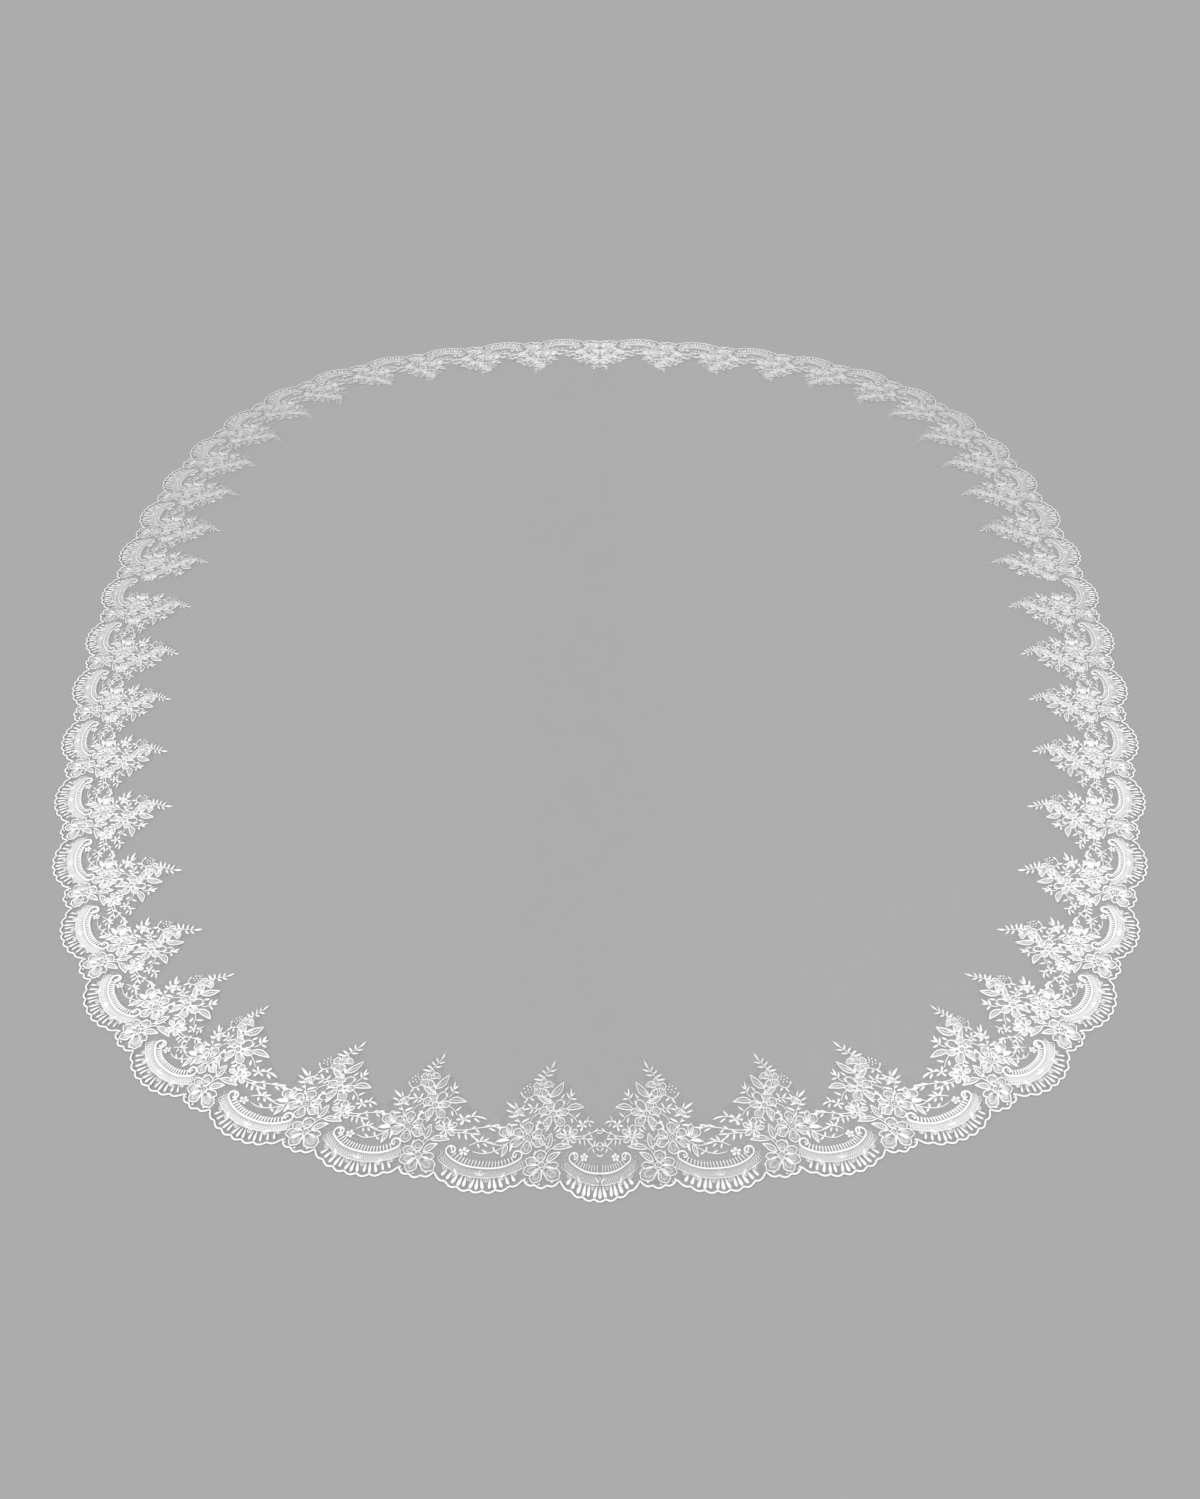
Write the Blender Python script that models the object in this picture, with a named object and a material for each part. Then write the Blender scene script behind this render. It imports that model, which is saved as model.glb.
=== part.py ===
"""Long oval bridal veil laid out flat: one tulle panel with a wide scalloped lace edging.

The veil lies on the XY plane with its underside at z = 0. The broad end is towards +Y,
the narrow end towards -Y, and the two halves mirror each other across X = 0. The edging
is four lengths of the same floral lace, butted at the narrow end's centre, at each side
and at the broad end's centre. Lengths are in metres.

Every outline is drawn first in the lace's own plane. "along" runs along the veil's edge
towards the centre of the narrow end, counted from the middle of a flower scallop, and
"depth" runs inwards from the notches between the scallops. The egg-shaped notch line
then carries those points to the floor.
"""
import bpy
import numpy as np
from mathutils import Vector
from mathutils.geometry import delaunay_2d_cdt

# The lace repeat: one wide fan scallop and one narrow flower scallop
FAN_WIDTH = 0.170
FLOWER_WIDTH = 0.070
REPEAT = FAN_WIDTH + FLOWER_WIDTH
CENTRE_FAN_WIDTH = 0.151
FLOWERS_PER_LENGTH = 12
FLOWERS_PER_SIDE = 2 * FLOWERS_PER_LENGTH

# The notch line: places that one half of the egg-shaped cut runs through,
# as name, distance from the centre line, distance past the widest line
NOTCH_LINE = (
    ("narrow end", 0.000, -2.552),
    ("narrow end quarter", 0.500, -2.494),
    ("narrow corner", 0.900, -2.297),
    ("narrow shoulder", 1.126, -2.000),
    ("lower side", 1.310, -1.500),
    ("side", 1.438, -0.800),
    ("widest line", 1.467, 0.000),
    ("upper side", 1.353, 0.600),
    ("broad corner", 1.050, 1.044),
    ("broad end quarter", 0.600, 1.271),
    ("broad end", 0.000, 1.365),
)
STEPS_BETWEEN_PLACES = 400

# Scallops: how far each bulges past the notch line, and the small lobes along it
FAN_BULGE = 0.031
CENTRE_FAN_BULGE = 0.040
FAN_ROUNDNESS = 2.4
FAN_LOBES = 5
FLOWER_BULGE = 0.013
FLOWER_ROUNDNESS = 2.0
FLOWER_LOBES = 3
LOBE_HEIGHT = 0.0042
POINTS_IN_LOBE = 3

# Cloth thicknesses and the clearance between pieces
TULLE_THICKNESS = 0.0010
SEAM_GAP = 0.0003
LACE_THICKNESS = 0.0012
EDGE_CORD_RISE = 0.0006
SCROLL_CORD_RISE = 0.0010
TULLE_INSET = 0.0040
TULLE_FAN_STEPS = 5
TULLE_FLOWER_STEPS = 3

# Inner edge of the lace over one repeat, from one fan's middle to the next:
# place on the motif, along (mm), depth (mm)
INNER_EDGE = (
    ("valley", 120, 114),
    ("blossom sprig", 104, 132),
    ("small flower sprig", 84, 149),
    ("side leaf root", 60, 150),
    ("side leaf tip", 68, 163),
    ("side sprig foot", 48, 186),
    ("side sprig tip", 31, 214),
    ("upper leaf tip", 11, 223),
    ("crown shoulder", -6, 231),
    ("tip leaf", -12, 266),
    ("tip spray", -37, 252),
    ("tip leaflet", -67, 232),
    ("crown foot", -60, 222),
    ("berries", -83, 207),
    ("berry stalk", -71, 172),
    ("rosebud sprig", -103, 173),
    ("bud top", -96, 131),
)
# How the sprays of flowers lie, as what is laid, its place in repeats from the first
# flower, how far its tip would lean back towards the narrow end (mm), and its share of
# the pattern's full depth
SPRAYS = (
    ("narrow end", -0.46, 0, 1.03),
    ("flower 1 side leaf", -0.29, 20, 1.03),
    ("flower 1 tip", 0.06, 24, 1.03),
    ("flower 1 berries", 0.30, 34, 1.03),
    ("flower 1 rosebud", 0.48, 38, 1.03),
    ("flower 2 side leaf", 0.73, -10, 1.02),
    ("flower 2 tip", 1.06, 0, 1.02),
    ("flower 3 side leaf", 1.71, 28, 1.00),
    ("flower 3 tip", 2.06, 33, 0.985),
    ("flower 3 rosebud", 2.44, 36, 0.97),
    ("flower 4 side leaf", 2.71, -19, 0.96),
    ("flower 4 tip", 3.06, -54, 0.955),
    ("flower 4 rosebud", 3.44, -30, 0.96),
    ("flower 5 side leaf", 3.71, 18, 0.965),
    ("flower 5", 4.0, -8, 0.965),
    ("flower 6", 5.0, 20, 0.93),
    ("flower 7", 6.0, 14, 0.92),
    ("flower 8", 7.0, -12, 0.91),
    ("flower 9", 8.0, -10, 0.87),
    ("flower 10", 9.0, -12, 0.86),
    ("flower 11", 10.0, 6, 0.875),
    ("flower 12", 11.0, -12, 0.89),
    ("side join", 11.5, 0, 0.91),
    ("flower 13", 12.0, -40, 0.93),
    ("flower 14", 13.0, 0, 0.92),
    ("flower 15", 14.0, -20, 0.91),
    ("flower 16", 15.0, -8, 0.895),
    ("flower 17", 16.0, -6, 0.88),
    ("flower 18", 17.0, -16, 0.85),
    ("flower 19", 18.0, 44, 0.87),
    ("flower 20", 19.0, -20, 0.86),
    ("flower 21", 20.0, 34, 0.91),
    ("flower 22", 21.0, 26, 0.93),
    ("flower 23", 22.0, 36, 1.00),
    ("flower 24", 23.0, 20, 0.95),
    ("broad end", 23.15, 0, 0.95),
)
TIP_DEPTH = 0.274

# Bare inner edge over the half fan where a side join leaves the flowers off
JOIN_EDGE = (
    ("scroll middle", 120, 36),
    ("scroll shoulder", 84, 44),
    ("scroll curl", 64, 66),
    ("spiky flower", 58, 110),
    ("side leaf root", 52, 146),
)
BARE_ALONG = 0.062
BARE_DEPTH = 0.050

# Largest open gaps of one repeat: name, corners as (along, depth) in mm
GAPS = (
    ("under the upper branch", ((88, 90), (134, 86), (136, 100), (114, 108), (92, 100))),
    ("over the ladder", ((86, 43), (116, 38), (146, 42), (140, 50), (112, 49), (92, 54))),
    ("beside the blossom", ((98, 60), (132, 60), (134, 74), (112, 77))),
    ("over the upright leaf", ((2, 104), (17, 104), (18, 126), (5, 128))),
    ("under the side leaf", ((30, 128), (45, 131), (47, 143), (33, 147))),
    ("under the rosebud", ((-90, 122), (-76, 116), (-66, 128), (-80, 137))),
)
GAP_MARGIN = 0.006

# Raised flower hearts of one repeat: name, along (mm), depth (mm), rise (mm)
RAISED_HEARTS = (
    ("scallop flower", -3, 33, 1.6),
    ("broad flower", -48, 92, 1.6),
    ("spiky flower", 38, 100, 1.2),
    ("small flower", 66, 124, 1.0),
    ("cluster flower", -10, 148, 1.6),
    ("crown flower", -36, 212, 1.4),
    ("tulip bud", -90, 102, 1.0),
)
# Raised scroll cord of one fan: share of the fan's width, depth (mm)
SCROLL_CORD = (
    (0.10, 45),
    (0.27, 27),
    (0.50, 19),
    (0.73, 23),
    (0.90, 42),
)

TULLE_COLOUR = (0.90, 0.90, 0.91, 1.0)
LACE_COLOUR = (0.93, 0.93, 0.92, 1.0)
TULLE_ROUGHNESS = 0.85
LACE_ROUGHNESS = 0.70
MILLIMETRE = 0.001


def clear_scene():
    """Remove whatever the file holds."""
    for item in list(bpy.data.objects):
        bpy.data.objects.remove(item, do_unlink=True)


def bends(values, spans):
    """Second derivative at each place of the closed cubic curve through the values.

    The slopes agree on both sides of every place, which gives one equation a place.
    """
    count = len(values)
    before, after = np.roll(spans, 1), spans
    rows = np.arange(count)
    system = np.zeros((count, count))
    system[rows, rows - 1] += before
    system[rows, rows] += 2 * (before + after)
    system[rows, (rows + 1) % count] += after
    rise = (np.roll(values, -1) - values) / after
    return np.linalg.solve(system, 6 * (rise - np.roll(rise, 1)))


def closed_cubic(values, spans, steps):
    """The closed cubic curve through the values, with that many steps in each span."""
    share = np.arange(steps) / steps
    here, there = values[:, None], np.roll(values, -1)[:, None]
    bend = bends(values, spans)
    bend_here, bend_there = bend[:, None], np.roll(bend, -1)[:, None]
    pull = spans[:, None] ** 2 / 6
    curve = (here * (1 - share) + there * share
             + pull * bend_here * ((1 - share) ** 3 - (1 - share))
             + pull * bend_there * (share ** 3 - share))
    return curve.ravel()


def notch_line():
    """One half of the notch line as arc length, x and y, from the narrow end's centre."""
    half = np.array([place[1:] for place in NOTCH_LINE])
    whole = np.concatenate([half, half[-2:0:-1] * (-1, 1)])
    spans = np.hypot(*(np.roll(whole, -1, axis=0) - whole).T)
    kept = (len(half) - 1) * STEPS_BETWEEN_PLACES + 1
    x = closed_cubic(whole[:, 0], spans, STEPS_BETWEEN_PLACES)[:kept]
    y = closed_cubic(whole[:, 1], spans, STEPS_BETWEEN_PLACES)[:kept]
    steps = np.hypot(np.diff(x), np.diff(y))
    return np.concatenate([[0.0], np.cumsum(steps)]), x, y


ARC, ARC_X, ARC_Y = notch_line()
NOMINAL_HALF = (CENTRE_FAN_WIDTH / 2 + FLOWERS_PER_SIDE * FLOWER_WIDTH
                + (FLOWERS_PER_SIDE - 1) * FAN_WIDTH)
EASE = ARC[-1] / NOMINAL_HALF


def flower_station(number):
    """Distance along the lace from the narrow end's centre to a flower scallop's middle."""
    return CENTRE_FAN_WIDTH / 2 + FLOWER_WIDTH / 2 + (number - 1) * REPEAT


def as_laid(station, depth):
    """Move lace points to how the sprays lie: leaning, and drawn in, more the deeper."""
    _, places, leans, shares = zip(*SPRAYS)
    repeats = (np.asarray(station, float) - flower_station(1)) / REPEAT
    depth = np.asarray(depth, float)
    inward = np.maximum(depth, 0.0)
    lean = np.interp(repeats, places, leans) * MILLIMETRE * inward / TIP_DEPTH
    return station - lean, depth + inward * (np.interp(repeats, places, shares) - 1)


def on_the_floor(station, depth):
    """Carry lace points (distance along, depth inwards) to x and y on the +X side."""
    station, depth = as_laid(station, depth)
    arc = station * EASE
    x = np.interp(arc, ARC, ARC_X)
    y = np.interp(arc, ARC, ARC_Y)
    slope_x = np.interp(arc, ARC, np.gradient(ARC_X, ARC))
    slope_y = np.interp(arc, ARC, np.gradient(ARC_Y, ARC))
    length = np.hypot(slope_x, slope_y)
    return x - slope_y / length * depth, y + slope_x / length * depth


def scallop(start, end, bulge, roundness, lobes):
    """Outer edge of one scallop from its first notch up to its last, which is left out."""
    share = np.arange(POINTS_IN_LOBE * lobes) / (POINTS_IN_LOBE * lobes)
    depth = -bulge * (1 - np.abs(2 * share - 1) ** roundness)
    depth -= LOBE_HEIGHT * np.abs(np.sin(np.pi * lobes * share))
    return [(start + part * (end - start), sink) for part, sink in zip(share, depth)]


def fan_bulge(number):
    """Bulge of the fan before a flower, which is fuller at the narrow end's centre."""
    return CENTRE_FAN_BULGE if number == 1 else FAN_BULGE


def outer_edge():
    """Outer edge of one whole half, as (station, depth) from the narrow to the broad end."""
    points = []
    for number in range(1, FLOWERS_PER_SIDE + 1):
        first_notch = flower_station(number) - FLOWER_WIDTH / 2
        last_notch = first_notch + FLOWER_WIDTH
        fan_start = first_notch - FAN_WIDTH
        bulge = fan_bulge(number)
        points += scallop(fan_start, first_notch, bulge, FAN_ROUNDNESS, FAN_LOBES)
        points += scallop(first_notch, last_notch, FLOWER_BULGE, FLOWER_ROUNDNESS, FLOWER_LOBES)
    points.append((last_notch, 0.0))
    return points


def inner_edge(first, last, bare_start):
    """Inner edge over the flowers first to last, as (station, depth), station rising."""
    points = []
    for number in range(first, last + 1):
        middle = flower_station(number)
        table = INNER_EDGE
        if bare_start and number == first:
            table = JOIN_EDGE + INNER_EDGE[4:]
        points += [(middle - along * MILLIMETRE, depth * MILLIMETRE)
                   for _, along, depth in table]
    ending = flower_station(last + 1) - INNER_EDGE[0][1] * MILLIMETRE
    points.append((ending, INNER_EDGE[0][2] * MILLIMETRE))
    return points


def clipped(points, start, end):
    """The stretch of an edge between two stations, with a point of its own at each."""
    inside = [i for i, (station, _) in enumerate(points) if start < station < end]
    first, last = inside[0], inside[-1]
    stretch = points[first:last + 1]
    head = depth_between(points, first - 1, start) if first else stretch[0][1]
    tail = depth_between(points, last, end) if last + 1 < len(points) else stretch[-1][1]
    return [(start, head)] + stretch + [(end, tail)]


def depth_between(points, index, station):
    """Depth of the edge at a station between the points index and index + 1."""
    (from_station, from_depth), (to_station, to_depth) = points[index], points[index + 1]
    share = (station - from_station) / (to_station - from_station)
    return from_depth + share * (to_depth - from_depth)


def even_odd_inside(points, starts, ends):
    """Which points lie inside the loops whose edges run from starts to ends."""
    px, py = points[:, None, 0], points[:, None, 1]
    ax, ay, bx, by = starts[:, 0], starts[:, 1], ends[:, 0], ends[:, 1]
    spans = (ay > py) != (by > py)
    rise = np.where(by == ay, 1.0, by - ay)
    crossing = ax + (py - ay) / rise * (bx - ax)
    return (spans & (px < crossing)).sum(axis=1) % 2 == 1


def triangles(points, loops):
    """Triangles between the loops that use every point, each turning anticlockwise."""
    edges = [(loop[i - 1], loop[i]) for loop in loops for i in range(len(loop))]
    flat = [Vector(point) for point in points]
    _, _, faces, origins, _, _ = delaunay_2d_cdt(flat, edges, [], 0, 1e-7, True)
    corners = np.array([[origins[corner][0] for corner in face] for face in faces])
    starts = points[[edge[0] for edge in edges]]
    ends = points[[edge[1] for edge in edges]]
    kept = corners[even_odd_inside(points[corners].mean(axis=1), starts, ends)]
    a, b, c = points[kept[:, 0]], points[kept[:, 1]], points[kept[:, 2]]
    turn = ((b - a)[:, 0] * (c - a)[:, 1] - (b - a)[:, 1] * (c - a)[:, 0]) > 0
    kept[~turn] = kept[~turn][:, ::-1]
    return kept


def signed_area(points):
    """Area of a loop, positive where it runs anticlockwise."""
    x, y = points[:, 0], points[:, 1]
    return 0.5 * float(np.sum(x * np.roll(y, -1) - np.roll(x, -1) * y))


def cloth_wall(name, outline, holes, crests, underside, topside, rim_rise, material):
    """A closed flat wall with holes, its top raised at the outline's rim and at crests.

    outline and holes are arrays of x and y, rim_rise is the extra height of each outline
    point, and crests has a row of x, y and rise for each raised point of the top.
    """
    loops_xy = [outline if signed_area(outline) > 0 else outline[::-1]]
    rises = [rim_rise if signed_area(outline) > 0 else rim_rise[::-1]]
    for hole in holes:
        loops_xy.append(hole if signed_area(hole) < 0 else hole[::-1])
        rises.append(np.zeros(len(hole)))
    rim = np.concatenate(loops_xy)
    rim_top = topside + np.concatenate(rises)
    loops, used = [], 0
    for loop in loops_xy:
        loops.append(list(range(used, used + len(loop))))
        used += len(loop)
    count = len(rim)
    bottom = np.column_stack([rim, np.full(count, underside)])
    top = np.column_stack([rim, rim_top])
    raised = np.column_stack([crests[:, :2], topside + crests[:, 2]])
    points = np.concatenate([bottom, top, raised])

    faces = [tuple(face[::-1]) for face in triangles(rim, loops).tolist()]
    for face in triangles(np.concatenate([rim, crests[:, :2]]), loops).tolist():
        faces.append(tuple(corner + count for corner in face))
    for loop in loops:
        for here, after in zip(loop, loop[1:] + loop[:1]):
            faces.append((here, after, after + count, here + count))

    mesh = bpy.data.meshes.new(name)
    mesh.from_pydata(points.tolist(), [], faces)
    mesh.materials.append(material)
    piece = bpy.data.objects.new(name, mesh)
    bpy.context.collection.objects.link(piece)
    return piece


def cloth_material(name, colour, roughness):
    """A plain matt cloth finish."""
    material = bpy.data.materials.new(name)
    material.use_nodes = True
    shader = material.node_tree.nodes["Principled BSDF"]
    shader.inputs["Base Color"].default_value = colour
    shader.inputs["Roughness"].default_value = roughness
    shader.inputs["Metallic"].default_value = 0.0
    return material


def centre_line_shift():
    """How far +Y the widest line lies from the middle of the veil's length."""
    station, depth = np.array(clipped(outer_edge(), 0.0, NOMINAL_HALF)).T
    _, y = on_the_floor(station, depth)
    return -(y.max() + y.min()) / 2


def tulle_scallop(start, end, bulge, roundness, steps):
    """The tulle's cut under one scallop, from its first notch up to its last."""
    share = np.arange(steps) / steps
    depth = TULLE_INSET - bulge * (1 - np.abs(2 * share - 1) ** roundness)
    return [(start + part * (end - start), sink) for part, sink in zip(share, depth)]


def tulle_panel(shift, material):
    """The whole oval of tulle, cut a little inside the lace's edge cord."""
    points = []
    for number in range(1, FLOWERS_PER_SIDE + 1):
        first_notch = flower_station(number) - FLOWER_WIDTH / 2
        last_notch = first_notch + FLOWER_WIDTH
        points += tulle_scallop(first_notch - FAN_WIDTH, first_notch,
                                fan_bulge(number), FAN_ROUNDNESS, TULLE_FAN_STEPS)
        points += tulle_scallop(first_notch, last_notch,
                                FLOWER_BULGE, FLOWER_ROUNDNESS, TULLE_FLOWER_STEPS)
    points.append((last_notch, TULLE_INSET))
    station, depth = np.array(clipped(points, 0.0, NOMINAL_HALF)).T
    x, y = on_the_floor(station, depth)
    side = np.column_stack([x, y + shift])
    side[[0, -1], 0] = 0.0
    other_side = (side * (-1, 1))[-2:0:-1]
    outline = np.concatenate([side, other_side])
    return cloth_wall("tulle_panel", outline, [], np.empty((0, 3)), 0.0, TULLE_THICKNESS,
                      np.zeros(len(outline)), material)


def crest_table(number):
    """Raised points of one repeat as rows of station, depth and rise."""
    middle = flower_station(number)
    rows = [(middle - along * MILLIMETRE, depth * MILLIMETRE, rise * MILLIMETRE)
            for _, along, depth, rise in RAISED_HEARTS]
    fan_start = middle - FLOWER_WIDTH / 2 - FAN_WIDTH
    rows += [(fan_start + (1 - share) * FAN_WIDTH, depth * MILLIMETRE, SCROLL_CORD_RISE)
             for share, depth in SCROLL_CORD]
    return rows


def gaps_of(flower):
    """The open gaps around one flower scallop, as arrays of station and depth."""
    return [np.array(corners) * (-MILLIMETRE, MILLIMETRE) + (flower_station(flower), 0.0)
            for _, corners in GAPS]


def lace_length(name, side, flowers, span, bare_start, heights, material):
    """One length of the lace edging.

    side is -1 or 1, flowers are its first and last flower scallops, span is the stations
    it runs between, bare_start leaves the flowers off its first half fan, and heights are
    its underside's z and how far its widest line lies past the origin.
    """
    (first, last), (start, end), (underside, shift) = flowers, span, heights
    outer = clipped(outer_edge(), start, end)
    inner = clipped(inner_edge(first, last, bare_start), start, end)
    outline = np.array(outer + inner[::-1])
    rim_rise = np.array([EDGE_CORD_RISE] * len(outer) + [0.0] * len(inner))

    holes, crests = [], []
    bare_end = flower_station(first) - BARE_ALONG if bare_start else start
    for number in range(first, last + 2):
        for hole in gaps_of(number):
            if hole[:, 0].min() > bare_end + GAP_MARGIN and hole[:, 0].max() < end - GAP_MARGIN:
                holes.append(hole)
        for station, depth, rise in crest_table(number):
            in_bare_part = station < bare_end and depth > BARE_DEPTH
            if start + GAP_MARGIN < station < end - GAP_MARGIN and not in_bare_part:
                crests.append((station, depth, rise))

    def carried(flat):
        x, y = on_the_floor(flat[:, 0], flat[:, 1])
        return np.column_stack([x * side, y + shift])

    outline_xy = carried(outline)
    on_centre_seam = np.abs(outline_xy[:, 0]) < SEAM_GAP
    outline_xy[on_centre_seam, 0] = side * SEAM_GAP / 2
    crests = np.array(crests)
    crests[:, :2] = carried(crests)
    return cloth_wall(name, outline_xy, [carried(hole) for hole in holes], crests, underside,
                      underside + LACE_THICKNESS, rim_rise, material)


def build_veil():
    """Make the tulle panel and the four lace lengths around it."""
    clear_scene()
    shift = centre_line_shift()
    tulle = cloth_material("ivory_tulle", TULLE_COLOUR, TULLE_ROUGHNESS)
    lace = cloth_material("white_corded_lace", LACE_COLOUR, LACE_ROUGHNESS)
    pieces = [tulle_panel(shift, tulle)]

    heights = (TULLE_THICKNESS + SEAM_GAP, shift)
    join = flower_station(FLOWERS_PER_LENGTH + 1) - FLOWER_WIDTH / 2 - FAN_WIDTH / 2
    near_flowers = (1, FLOWERS_PER_LENGTH)
    near_span = (SEAM_GAP / 2, join - SEAM_GAP / 2)
    far_flowers = (FLOWERS_PER_LENGTH + 1, FLOWERS_PER_SIDE)
    far_span = (join + SEAM_GAP / 2, NOMINAL_HALF - SEAM_GAP / 2)
    for word, side in (("left", -1), ("right", 1)):
        pieces.append(lace_length(f"lace_near_{word}", side, near_flowers, near_span,
                                  False, heights, lace))
        pieces.append(lace_length(f"lace_far_{word}", side, far_flowers, far_span,
                                  True, heights, lace))

    veil = bpy.data.objects.new("veil", None)
    bpy.context.collection.objects.link(veil)
    for piece in pieces:
        piece.parent = veil


build_veil()
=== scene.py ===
"""A long oval bridal veil laid out flat, dressed with its tulle net and corded lace.

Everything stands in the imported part's frame, in metres. The lace is drawn first in its own
plane, in millimetres: "along" runs along the veil's edge towards the centre of the narrow
end, counted from the middle of a flower scallop, and "depth" runs inwards from the notches
between the scallops. NotchLine carries those points to the floor. The veil's halves mirror
each other across X = 0.
"""
import logging
import math
from dataclasses import dataclass, field
from enum import Enum

import bpy
import numpy as np
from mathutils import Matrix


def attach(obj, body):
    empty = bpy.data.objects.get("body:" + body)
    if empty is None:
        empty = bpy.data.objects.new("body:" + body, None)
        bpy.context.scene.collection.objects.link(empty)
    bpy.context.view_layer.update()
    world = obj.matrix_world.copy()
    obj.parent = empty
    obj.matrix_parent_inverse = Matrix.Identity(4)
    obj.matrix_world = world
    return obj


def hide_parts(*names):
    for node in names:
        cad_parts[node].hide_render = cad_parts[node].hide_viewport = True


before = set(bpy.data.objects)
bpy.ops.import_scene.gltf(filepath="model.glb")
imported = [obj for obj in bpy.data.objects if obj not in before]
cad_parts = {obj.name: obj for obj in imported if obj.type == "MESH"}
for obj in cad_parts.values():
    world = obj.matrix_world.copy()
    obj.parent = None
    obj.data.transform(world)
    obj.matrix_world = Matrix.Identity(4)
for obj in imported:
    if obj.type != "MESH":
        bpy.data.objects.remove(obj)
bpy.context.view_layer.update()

LOG = logging.getLogger("veil")
MM = 0.001
Point = tuple[float, float]


class Layer(Enum):
    """The embroidery piece that some stitching belongs to."""

    CORDS = "cords"
    SATIN = "satin"
    FILLINGS = "fillings"


class Stitch(Enum):
    """How a petal or a leaf is worked."""

    SATIN = "satin"
    CLOSE = "close"
    HATCHED = "hatched"
    VEINED = "veined"
    DOTTED = "dotted"


@dataclass
class Patch:
    """Stitching as points, faces and thread directions.

    points are along, depth and height, thread is the way along and across the thread, all
    in millimetres, and tone is how bright each point's thread is: its own brightness,
    times the painted shade along the lace once it is laid.
    """

    points: np.ndarray
    thread: np.ndarray
    tone: np.ndarray
    quads: np.ndarray
    tris: np.ndarray

    @staticmethod
    def joined(parts: list["Patch"]) -> "Patch":
        """One patch of several, each part's faces counted on from the points before it.

        Args:
            parts: the patches to join.

        Returns:
            The joined patch.
        """
        starts = np.cumsum([0] + [len(part.points) for part in parts[:-1]])
        return Patch(
            np.concatenate([part.points for part in parts]),
            np.concatenate([part.thread for part in parts]),
            np.concatenate([part.tone for part in parts]),
            np.concatenate([part.quads + at for part, at in zip(parts, starts)]),
            np.concatenate([part.tris + at for part, at in zip(parts, starts)]),
        )


def round_section(sides: int) -> np.ndarray:
    """Section of a round thread: across is the cosine and up half of one plus the sine.

    Args:
        sides: how many sides the section has.

    Returns:
        Rows of across, from -1 to 1, and up, from 0 to 1, from the left over the top.
    """
    angle = 2 * np.pi * (np.arange(sides) + 0.5) / sides
    return np.column_stack([np.cos(angle), 0.5 + 0.5 * np.sin(angle)])


CORD_SECTION = round_section(6)
DROP_SECTION = round_section(5)
OUTLINE_SECTION = np.array([(1.0, 0.1), (0.55, 1.0), (-0.55, 1.0), (-1.0, 0.1)])
THREAD_SECTION = np.array([(1.0, 0.0), (0.0, 1.0), (-1.0, 0.0)])
LEAF_SECTION = np.array([(1.0, 0.0), (0.50, 1.0), (0.0, 0.62), (-0.50, 1.0), (-1.0, 0.0)])
DOME_RINGS = np.array([(1.0, 0.0), (0.90, 0.70), (0.55, 1.0)])
DOT_RINGS = np.array([(1.0, 0.0), (0.72, 0.75)])
BEAD_RINGS = np.array([(1.0, 0.0)])


def smooth_path(controls: list[Point] | np.ndarray, count: int) -> np.ndarray:
    """An even walk along the Catmull-Rom curve through the controls.

    Each span's curve is a cubic whose slope at a control is half the step between the
    controls on either side of it.

    Args:
        controls: the points that the curve runs through.
        count: how many points the walk has.

    Returns:
        The walk's points, an array of count rows.
    """
    given = np.asarray(controls, float)
    ends = np.vstack([2 * given[0] - given[1], given, 2 * given[-1] - given[-2]])
    before, here, there, after = ends[:-3], ends[1:-2], ends[2:-1], ends[3:]
    share = (np.arange(16) / 16)[None, :, None]
    before, here, there, after = (part[:, None] for part in (before, here, there, after))
    curve = 0.5 * (2 * here + (there - before) * share
                   + (2 * before - 5 * here + 4 * there - after) * share ** 2
                   + (3 * here - before - 3 * there + after) * share ** 3)
    curve = np.vstack([curve.reshape(-1, 2), given[-1]])
    walked = np.concatenate([[0.0], np.cumsum(np.hypot(*np.diff(curve, axis=0).T))])
    even = np.linspace(0.0, walked[-1], count)
    return np.column_stack([np.interp(even, walked, curve[:, axis]) for axis in (0, 1)])


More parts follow.
